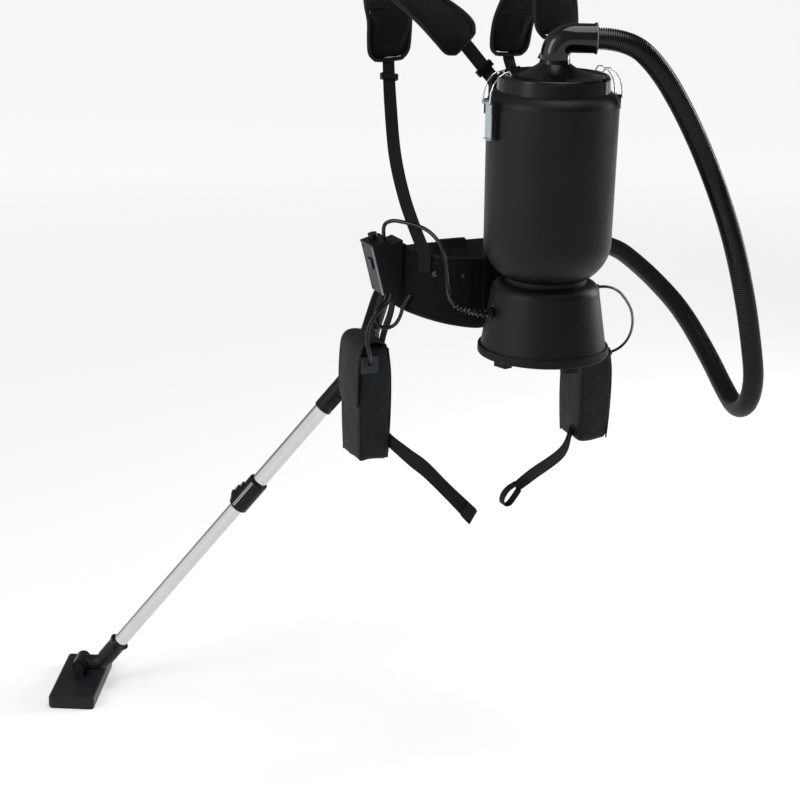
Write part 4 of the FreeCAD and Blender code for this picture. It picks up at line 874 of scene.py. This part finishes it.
def make_harness_webbing():
    rears = (
        [(-0.1022, -0.0059, 0.4619), (-0.0976, -0.0063, 0.4568), (-0.056, -0.0076, 0.410),
         (-0.047, ANCHOR_DEPTH, 0.399), (-0.040, ANCHOR_DEPTH, 0.386)],
        [(0.0899, -0.0065, 0.4639), (0.0892, -0.0068, 0.459), (0.068, -0.0076, 0.422),
         (0.054, ANCHOR_DEPTH, 0.399), (0.042, ANCHOR_DEPTH, 0.386)])
    tops, lows = [], []
    for spots in rears:
        a, b, c = (Vector(spot) for spot in spots[:3])
        tip = (b - a).cross(Vector((0, 1, 0)))
        slant = (c - b).cross(Vector((0, 1, 0)))
        top, low = edges_of(spots, [tip, slant, slant, slant, (1, 0, 0)],
                            REAR_WIDTH)
        tops.append(top)
        lows.append(low)
    across_strap("shoulder_straps", tops, lows, "webbing_grey", "shoulder_webbing")

    lean = Vector((-math.sin(LOCK_TURN), -math.cos(LOCK_TURN), 0))
    along = Vector((-lean.y, lean.x, 0))
    corner = BELT_CORNER + lean * LOCK_REACH
    tops, lows = [], []
    for side in (-1, 1):
        chest = 0.1424 if side < 0 else 0.1214
        spots = [Vector((-chest, 0.2444, 0.3984)), Vector((-chest - 0.001, 0.241, 0.386)),
                 Vector((-chest - 0.012, 0.205, 0.320)), Vector((-0.168, 0.150, 0.232)),
                 Vector((-0.172, 0.095, 0.160)),
                 corner + Vector((-0.008, 0.022, 0.100)),
                 corner + Vector((0, 0, 0.062)), corner + Vector((0, 0, 0.026))]
        acrosses = [Vector((-1, 0, 0)), Vector((-1, 0, 0)), Vector((-1, 0.2, 0)),
                    Vector((-0.8, 0.7, 0)), -along, -along, -along, -along]
        if side > 0:
            spots, acrosses = mirrored(spots), mirrored(acrosses)
        top, low = edges_of(spots, acrosses, SIDE_WIDTH)
        tops.append(top)
        lows.append(low)
    across_strap("side_straps", tops, lows, "webbing_grey", "side_webbing")


make_harness_webbing()
print("harness webbing made")

# %% [markdown]
# ## The waist outline
#
# The belt lies round a rounded oblong. One function gives a spot on it by its
# length from the middle of the back, so belt, binding and straps agree.

# %% Waist outline
TORSO_HALF = 0.172
TORSO_ROUND = 0.105
TORSO_FLANK = 0.018
BELT_THICK = 0.012
BELT_ROWS = (
    (0.002, -0.083, 0.053), (0.040, -0.083, 0.053), (0.067, -0.082, 0.053),
    (0.110, -0.074, 0.056), (0.150, -0.066, 0.061), (0.195, -0.059, 0.068),
    (0.232, -0.056, 0.071), (0.250, -0.052, 0.068), (0.268, -0.042, 0.058),
    (0.284, -0.026, 0.042))


def torso_way(along, out, side):
    """Spot and outward direction on the waist outline."""
    flat = TORSO_HALF - TORSO_ROUND
    quarter = TORSO_ROUND * math.pi / 2
    if along <= flat:
        spot, lean = Vector((-along, 0, 0)), Vector((0, -1, 0))
    elif along <= flat + quarter:
        angle = (along - flat) / TORSO_ROUND
        lean = Vector((-math.sin(angle), -math.cos(angle), 0))
        spot = Vector((-flat, TORSO_ROUND, 0)) + lean * TORSO_ROUND
    elif along <= flat + quarter + TORSO_FLANK:
        lean = Vector((-1, 0, 0))
        spot = Vector((-TORSO_HALF, TORSO_ROUND + along - flat - quarter, 0))
    elif along <= flat + 2 * quarter + TORSO_FLANK:
        angle = (along - flat - quarter - TORSO_FLANK) / TORSO_ROUND
        lean = Vector((-math.cos(angle), math.sin(angle), 0))
        spot = Vector((-flat, TORSO_ROUND + TORSO_FLANK, 0)) + lean * TORSO_ROUND
    else:
        lean = Vector((0, 1, 0))
        spot = Vector((along - 2 * flat - 2 * quarter - TORSO_FLANK,
                       2 * TORSO_ROUND + TORSO_FLANK, 0))
    spot = spot + lean * out
    if side > 0:
        spot.x, lean.x = -spot.x, -lean.x
    return spot, lean


STRAP_ALONG = (0.262, 0.268, 0.274, 0.286, 0.306, 0.334, 0.366, 0.398, 0.415, 0.458)
WING_END = 0.280


def make_belt_strap():
    tops, lows = [], []
    for side in (-1, 1):
        top, low = [], []
        for along in STRAP_ALONG:
            spot, _ = torso_way(along, BELT_THICK + 0.002, side)
            lift = 0.004 if along > WING_END else 0.006
            top.append(spot + Vector((0, 0, lift + WAIST_WIDTH / 2)))
            low.append(spot + Vector((0, 0, lift - WAIST_WIDTH / 2)))
        tops.append(top)
        lows.append(low)
    across_strap("waist_straps", tops, lows, "webbing_grey", "belt_webbing")


def make_hangers():
    left, _ = torso_way(0.236, 0.0135, -1)
    right, lean = torso_way(0.150, 0.014, 1)
    spots_left = [left + Vector((0, 0, -0.024)), left + Vector((0, 0, -0.048)),
                  (-0.189, 0.112, -0.075), (-0.197, 0.121, -0.112),
                  (-0.201, 0.124, -0.1376)]
    spots_right = [right + Vector((0, 0, 0.010)), right + Vector((0, 0, -0.058)),
                   (0.178, 0.044, -0.090), (0.209, 0.050, -0.132),
                   (0.216, 0.054, -0.1616)]
    slant = (-lean.y, lean.x, 0)
    edges = (edges_of(spots_left, [(0, 1, 0)] * 5, HANGER_WIDTH),
             edges_of(spots_right, [slant] * 5, HANGER_WIDTH))
    across_strap("hanger_straps", [pair[0] for pair in edges],
                 [pair[1] for pair in edges], "webbing_grey", "pouch_hangers")


make_belt_strap()
make_hangers()
print("belt straps and hangers made")

# %% [markdown]
# ## Padded cloth
#
# A pad is foam in a cloth cover. Its outline comes from the frame's solid,
# drawn in a little and remeshed. Cloth simulation with air pressure lets the
# cover swell between its edges, and sewn channels are pressed in after it.

# %% Pad helpers
REST_FRAME = 1
LAST_FRAME = 20


def settle_cloth(piece, pressure, cap):
    """Lets the cover swell for a moment and keeps each point within the cap."""
    before = [vertex.co.copy() for vertex in piece.data.vertices]
    cloth = piece.modifiers.new("cover", "CLOTH")
    cloth.settings.use_pressure = True
    cloth.settings.uniform_pressure_force = pressure
    cloth.settings.quality = 5
    cloth.settings.tension_stiffness = 18
    cloth.settings.compression_stiffness = 18
    cloth.settings.bending_stiffness = 2
    cloth.settings.effector_weights.gravity = 0
    cloth.point_cache.frame_start = REST_FRAME
    cloth.point_cache.frame_end = LAST_FRAME
    for step in range(REST_FRAME, LAST_FRAME + 1):
        scene.frame_set(step)
    apply_all(piece)
    scene.frame_set(REST_FRAME)
    for vertex, start in zip(piece.data.vertices, before):
        move = vertex.co - start
        if move.length > cap:
            vertex.co = start + move.normalized() * cap


def pad_from(node, name, slot, voxel=0.005, draw_in=0.0012, pressure=4.0, cap=0.006):
    """A padded piece with the outline of a frame node."""
    piece = copy_of(node, name)
    remesh = piece.modifiers.new("even_faces", "REMESH")
    remesh.mode = "VOXEL"
    remesh.voxel_size = voxel
    apply_all(piece)
    bpy.ops.object.mode_set(mode="EDIT")
    bpy.ops.mesh.select_all(action="SELECT")
    bpy.ops.transform.shrink_fatten(value=-draw_in)
    bpy.ops.object.mode_set(mode="OBJECT")
    settle_cloth(piece, pressure, cap)
    finer = piece.modifiers.new("finer", "SUBSURF")
    finer.levels = 1
    finer.render_levels = 1
    apply_all(piece)
    smooth(piece, 180)
    give(piece, slot)
    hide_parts(node)
    return piece


def sew(piece, lines, width=0.005, depth=0.0018):
    """Presses sewn channels into a pad along lines of close spots."""
    spots = [spot for line in lines for spot in smooth_line(line, 0.003)]
    tree = KDTree(len(spots))
    for index, spot in enumerate(spots):
        tree.insert(spot, index)
    tree.balance()
    for vertex in piece.data.vertices:
        _, _, distance = tree.find(vertex.co)
        if distance < width * 1.6:
            press = math.exp(-(distance / (width * 0.55)) ** 2)
            vertex.co -= vertex.normal * (depth * press)


def crumple(piece, size, height, seed):
    """Slow folds over a cloth cover, the same ones each run."""
    for vertex in piece.data.vertices:
        spot = vertex.co / size + Vector((seed, seed * 0.7, -seed))
        fold = noise.noise(spot) + 0.5 * noise.noise(spot * 2.3)
        vertex.co += vertex.normal * (fold * height)


# %% Belt wings
def belt_edge(side, share, out):
    """Spots along the belt at a share of its height, out from the waist line."""
    spots = []
    for along, low, high in BELT_ROWS:
        spot, _ = torso_way(along, out, side)
        spots.append(spot + Vector((0, 0, low + (high - low) * share)))
    return spots


def make_belt_wing(side, label):
    wing = pad_from("belt_wing_" + label, "belt_pad_" + label, "belt_cloth")
    face = BELT_THICK
    seams = [belt_edge(side, share, out) for out in (face, 0) for share in (0.10, 0.90)]
    sew(wing, seams, 0.004, 0.0014)
    crumple(wing, 0.035, 0.0007, 3.0 + side)
    top = belt_edge(side, 0.985, face / 2)
    low = belt_edge(side, 0.015, face / 2)
    outline = smooth_line(top) + list(reversed(smooth_line(low)))
    binding = wire("belt_binding_" + label, outline, 0.0040, cyclic=True, resolution=2)
    give(binding, "piping_black")
    for share, place in ((0.115, "low"), (0.885, "high")):
        thread = stitch_row("belt_stitches_%s_%s" % (label, place),
                            belt_edge(side, share, face + 0.0004), (0, 0, 0))
        give(thread, "thread_grey")


make_belt_wing(-1, "left")
make_belt_wing(1, "right")
print("belt wings made")

# %% Shoulder pads and back pad
PAD_LEFT = [(-0.1026, -0.002, 0.461), (-0.1125, 0.0015, 0.4718),
            (-0.1293, 0.008, 0.490), (-0.1545, 0.025, 0.5145), (-0.1758, 0.050, 0.534),
            (-0.1905, 0.085, 0.549), (-0.193, 0.120, 0.556), (-0.186, 0.157, 0.545),
            (-0.168, 0.194, 0.518), (-0.152, 0.217, 0.485), (-0.145, 0.232, 0.445),
            (-0.1426, 0.2378, 0.415), (-0.142, 0.240, 0.400)]
PAD_RIGHT = [(0.090, -0.002, 0.465), (0.0907, 0.002, 0.480), (0.092, 0.008, 0.498),
             (0.097, 0.025, 0.533), (0.104, 0.052, 0.561), (0.111, 0.088, 0.576),
             (0.117, 0.124, 0.573), (0.122, 0.162, 0.551), (0.125, 0.200, 0.512),
             (0.123, 0.228, 0.465), (0.1216, 0.2375, 0.416), (0.121, 0.240, 0.400)]
PAD_WIDTH = 0.090
PAD_THICK = 0.012
END_SHARE = 0.62
NEXT_SHARE = 0.93
BINDING_SHARE = 0.955
SEAM_SHARE = 0.72


def pad_line(spots, share, out):
    """Spots along a pad, a share of its half width to one side, raised by out."""
    line = []
    last = len(spots) - 1
    for i, spot in enumerate(spots):
        spot = Vector(spot)
        way = (Vector(spots[min(i + 1, last)]) - Vector(spots[max(i - 1, 0)])).normalized()
        across = Vector((-1, 0, 0))
        across = (across - way * across.dot(way)).normalized()
        rise = way.cross(across).normalized()
        half = PAD_WIDTH / 2
        if i in (0, last):
            half *= END_SHARE
        elif i in (1, last - 1):
            half *= NEXT_SHARE
        line.append(spot + across * (half * share) + rise * out)
    return line


def make_shoulder(label, spots):
    pad = pad_from("shoulder_pad_" + label, "shoulder_cushion_" + label, "pad_cloth")
    sew(pad, [pad_line(spots, share, PAD_THICK * 0.8)
              for share in (-SEAM_SHARE, SEAM_SHARE)], 0.005, 0.002)
    crumple(pad, 0.03, 0.0008, 5.0)
    line = smooth_line(pad_line(spots, BINDING_SHARE, PAD_THICK * 0.42))
    back = smooth_line(pad_line(spots, -BINDING_SHARE, PAD_THICK * 0.42))
    binding = wire("shoulder_binding_" + label, line + list(reversed(back)), 0.0042,
                   cyclic=True, resolution=2)
    give(binding, "piping_black")
    for share, place in ((-SEAM_SHARE, "inner"), (SEAM_SHARE, "outer")):
        thread = stitch_row("shoulder_stitches_%s_%s" % (label, place),
                            pad_line(spots, share, PAD_THICK * 0.72), (0, 0, 0))
        give(thread, "thread_grey")


def make_back_cushion():
    pad = pad_from("back_pad", "back_cushion", "pad_cloth")
    channels = [[(-0.048, -0.001, z), (0, 0.0, z), (0.048, -0.001, z)]
                for z in (0.150, 0.228, 0.306)]
    sides = [[(x, -0.002, 0.084), (x, -0.001, 0.228), (x, -0.002, 0.372)]
             for x in (-0.038, 0.038)]
    sew(pad, channels, 0.006, 0.0026)
    sew(pad, sides, 0.004, 0.0014)


make_shoulder("left", PAD_LEFT)
make_shoulder("right", PAD_RIGHT)
make_back_cushion()
print("pads made")

# %% [markdown]
# ## Battery pouches
#
# A pouch is coated cloth sewn round a heavy pack: a boxy bag with piped edges,
# slanting folds where it hangs, and a flap that laps over its outer side. The
# bag is a subdivided box whose points are moved in code, because its shape is
# a few plain faces with soft folds.

# %% Pouch helpers
BELLY = 0.0035


def belly_at(height):
    """How far a bag's faces swell at a height from -1 to 1."""
    return (1 - height * height) * BELLY


def narrowing(height):
    """The share of its width that a bag keeps at a height from -1 to 1."""
    return 1 - 0.10 * max(0.0, height - 0.55) / 0.45 - 0.03 * max(0.0, -height)


def bag(name, low, high, round_edge, seed):
    """A boxy cloth bag with soft edges, bulged faces and slanting folds."""
    low, high = Vector(low), Vector(high)
    middle = (low + high) / 2
    half = (high - low) / 2
    bpy.ops.object.select_all(action="DESELECT")
    bpy.ops.mesh.primitive_cube_add(size=2)
    piece = bpy.context.object
    piece.name = name
    bpy.ops.object.mode_set(mode="EDIT")
    bpy.ops.mesh.subdivide(number_cuts=31)
    bpy.ops.object.mode_set(mode="OBJECT")
    for vertex in piece.data.vertices:
        spot = Vector((vertex.co.x * half.x, vertex.co.y * half.y, vertex.co.z * half.z))
        core = Vector([max(-h + round_edge, min(h - round_edge, c))
                       for c, h in zip(spot, half)])
        lean = spot - core
        if lean.length > round_edge:
            lean = lean.normalized() * round_edge
        spot = core + lean
        height = spot.z / half.z
        narrow = narrowing(height)
        spot.x = spot.x * narrow
        spot.y = spot.y * narrow
        face = Vector((spot.x / half.x, spot.y / half.y, 0))
        if face.length > 0.01:
            spot += face.normalized() * (belly_at(height) * min(face.length, 1.0))
        lean_way = (spot.x + spot.y) * 0.8 + spot.z * 0.55
        fold = math.sin(lean_way * 95 + seed) * max(0.0, noise.noise(spot * 14))
        small = noise.noise(spot * 42 + Vector((seed, 0, 0)))
        if lean.length:
            spot += lean.normalized() * (fold * 0.0035 + small * 0.0014)
        vertex.co = spot + middle
    bpy.ops.object.mode_set(mode="EDIT")
    bpy.ops.mesh.select_all(action="SELECT")
    bpy.ops.mesh.normals_make_consistent(inside=False)
    bpy.ops.object.mode_set(mode="OBJECT")
    bpy.context.view_layer.update()
    finer = piece.modifiers.new("finer", "SUBSURF")
    finer.levels = 1
    finer.render_levels = 1
    apply_all(piece)
    smooth(piece, 180)
    return piece


def corner_line(low, high, x_side, y_side, inset):
    """Spots up one corner of a bag, following its belly and narrow top."""
    low, high = Vector(low), Vector(high)
    middle = (low + high) / 2
    half = (high - low) / 2
    line = []
    for height in (-0.97, -0.7, -0.3, 0.1, 0.5, 0.75, 0.95):
        narrow = narrowing(height)
        belly = belly_at(height) * 0.7
        line.append(middle + Vector((
            x_side * ((half.x - inset) * narrow + belly),
            y_side * ((half.y - inset) * narrow + belly), height * half.z)))
    return line


def make_pouch(label, low, high, seed):
    pouch = bag("pouch_" + label, low, high, 0.011, seed)
    give(pouch, "pouch_cloth")
    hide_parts("battery_pouch_" + label)
    parts = []
    for x_side in (-1, 1):
        for y_side in (-1, 1):
            parts.append(wire("piping", smooth_line(
                corner_line(low, high, x_side, y_side, 0.0030), 0.012), 0.0017))
    piping = joined("pouch_piping_" + label, parts)
    give(piping, "piping_black")
    return pouch


# %% The two pouches
LEFT_LOW_CORNER = (-0.250, 0.111, -0.375)
LEFT_HIGH_CORNER = (-0.184, 0.203, -0.139)
RIGHT_LOW_CORNER = (0.202, 0.028, -0.361)
RIGHT_HIGH_CORNER = (0.270, 0.118, -0.162)
make_pouch("left", LEFT_LOW_CORNER, LEFT_HIGH_CORNER, 1.0)
make_pouch("right", RIGHT_LOW_CORNER, RIGHT_HIGH_CORNER, 4.0)


def make_flap():
    """The left pouch's flap: over the top and down its outer side."""
    way = [(-0.196, 0, -0.1370), (-0.208, 0, -0.1290), (-0.224, 0, -0.1255),
           (-0.240, 0, -0.1280), (-0.2505, 0, -0.1400), (-0.2545, 0, -0.1650),
           (-0.2565, 0, -0.2000), (-0.2560, 0, -0.2350), (-0.2535, 0, -0.2600)]
    near = [0.110, 0.106, 0.105, 0.105, 0.106, 0.107, 0.108, 0.109, 0.116]
    far = [0.200, 0.204, 0.205, 0.205, 0.204, 0.203, 0.202, 0.201, 0.194]
    tops = [(x, y, z) for (x, _, z), y in zip(way, near)]
    lows = [(x, y, z) for (x, _, z), y in zip(way, far)]
    flap = strap("pouch_flap", tops, lows, 0.0032, columns=16, swell=0.003)
    crumple(flap, 0.03, 0.0012, 9.0)
    give(flap, "pouch_cloth")
    edge = smooth_line(tops) + list(reversed(smooth_line(lows)))
    binding = wire("flap_binding", edge, 0.0019, cyclic=True, resolution=2)
    give(binding, "piping_black")


make_flap()
print("pouches made")

# %% [markdown]
# ## Cable glands
#
# Where the control lead leaves the motor housing it passes a hexagon nut and a
# coiled bend relief: a tapered spiral that stops the lead kinking. The right
# lead has a small plain ferrule.

# %% Cable glands
RELIEF_SPOTS = [(-0.121, -0.165, -0.009), (-0.136, -0.165, -0.009),
                (-0.150, -0.151, -0.005), (-0.160, -0.131, -0.003),
                (-0.165, -0.118, 0.001)]
RELIEF_TURNS = 8
TURN_STEPS = 14
RELIEF_RADIUS = 0.0062
RELIEF_TAPER = 0.0008


def make_glands():
    out = Vector((-1, 0, 0))
    nut = disc("gland_nut", facing((-0.106, -0.165, -0.009), out), 0.0105, 0.010,
               bevel=0.0012, sides=6)
    collar = disc("gland_collar", facing((-0.116, -0.165, -0.009), out), 0.0078, 0.005,
                  bevel=0.0008)
    base = disc("gland_base", facing((-0.1035, -0.165, -0.009), out), 0.0118, 0.003,
                bevel=0.0006)
    guide = route("relief_way", RELIEF_SPOTS)
    spots, length = line_of(guide)
    bpy.data.objects.remove(guide)
    dense = smooth_line(spots, 0.001)
    coil = []
    steps = RELIEF_TURNS * TURN_STEPS
    for k in range(steps + 1):
        t = k / steps * (len(dense) - 1)
        i = min(int(t), len(dense) - 2)
        here = dense[i].lerp(dense[i + 1], t - i)
        ahead = (dense[i + 1] - dense[i]).normalized()
        side = ahead.cross(Vector((0, 0, 1))).normalized()
        rise = side.cross(ahead)
        angle = 2 * math.pi * RELIEF_TURNS * k / steps
        radius = RELIEF_RADIUS - RELIEF_TAPER * k / steps
        coil.append(here + side * (radius * math.cos(angle)) + rise * (
            radius * math.sin(angle)))
    spiral = wire("relief_spiral", coil, 0.0014, resolution=2)
    core = wire("relief_core", dense, 0.0038, resolution=2)
    ferrule = disc("right_ferrule", facing((0.1005, -0.165, 0.020), (1, 0, 0)), 0.0055,
                   0.0138, bevel=0.0012)
    glands = joined("gland_parts", [nut, collar, base, spiral, core, ferrule])
    smooth(glands, 40)
    give(glands, "cable_black")
    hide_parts("cable_glands")
    print("relief length:", round(length, 3))


make_glands()

# %% [markdown]
# ## Small trim
#
# The control box's cover has a light raised edge that catches the eye. The
# adjuster sleeve has two bright lines along it and a bright ring at its end, and
# the elbow has a light ring where the hose starts. The lid has a fine parting
# line, and the barrel a small step under its rim.

# %% Control cover edge
CONTROL_SPOT = Vector((-0.217, 0.095, 0.030))
CONTROL_LEAN = math.radians(-15)
CONTROL_PLACE = (Matrix.Translation(CONTROL_SPOT)
                 @ Matrix.Rotation(CONTROL_LEAN, 4, "Y"))


def make_cover_edge():
    strip = block("cover_strip", (-0.0212, -0.0292, -0.050), (-0.0192, -0.0222, 0.0495),
                  0.0006)
    moved_into(strip, CONTROL_PLACE)
    give(strip, "cover_edge")


make_cover_edge()


# %% Sleeve lines
TOOL_END = Vector((-0.6074, 0.6439, -0.942))
WAND_UP = Vector((0.5136, -0.3451, 0.7856)).normalized()
SLEEVE_RADIUS = 0.0221
SLEEVE_END = 0.5385
END_RADIUS = 0.0200
LINE_RADIUS = 0.0009
LINE_ALONG = (0.468, 0.485, 0.502, 0.519, 0.535)
LINE_LEANS = ((-0.80, -0.50, 0.30), (-0.75, -0.63, 0.21))


def make_sleeve_lines():
    """Two bright trim strips along the sleeve beside its button, and an end ring."""
    end = facing(TOOL_END + WAND_UP * SLEEVE_END, WAND_UP)
    parts = [ring("line", end, END_RADIUS, LINE_RADIUS)]
    for lean in LINE_LEANS:
        lean = Vector(lean)
        lean = (lean - WAND_UP * lean.dot(WAND_UP)).normalized()
        way = [TOOL_END + WAND_UP * along + lean * SLEEVE_RADIUS
               for along in LINE_ALONG]
        parts.append(wire("line", way, LINE_RADIUS, resolution=2))
    lines = joined("sleeve_lines", parts)
    give(lines, "sleeve_line")


make_sleeve_lines()


# %% Elbow end ring
ELBOW_MIDDLE = Vector((0, -0.165, 0.490))
ELBOW_WAY = Vector((0.906, -0.423, 0)).normalized()
ELBOW_REACH = 0.0732


def make_elbow_ring():
    spot = ELBOW_MIDDLE + ELBOW_WAY * ELBOW_REACH
    edge = ring("elbow_ring", facing(spot, ELBOW_WAY), 0.0276, 0.0011)
    give(edge, "cover_edge", "elbow")


make_elbow_ring()


# %% Lid trim
CANISTER_DEPTH = -0.165
PARTING_HEIGHT = 0.4195
STEP_HEIGHT = 0.3735


def level_ring(name, height, big, small):
    """A thin ring round the canister at a height."""
    place = Matrix.Translation(Vector((0, CANISTER_DEPTH, height)))
    return ring(name, place, big, small, 128)


def make_lid_trim():
    seam = level_ring("lid_parting", PARTING_HEIGHT, 0.1015, 0.0007)
    lip = level_ring("barrel_step", STEP_HEIGHT, 0.1203, 0.0009)
    give(seam, "lid_charcoal")
    give(lip, "shell_charcoal")


make_lid_trim()
print("trim made")
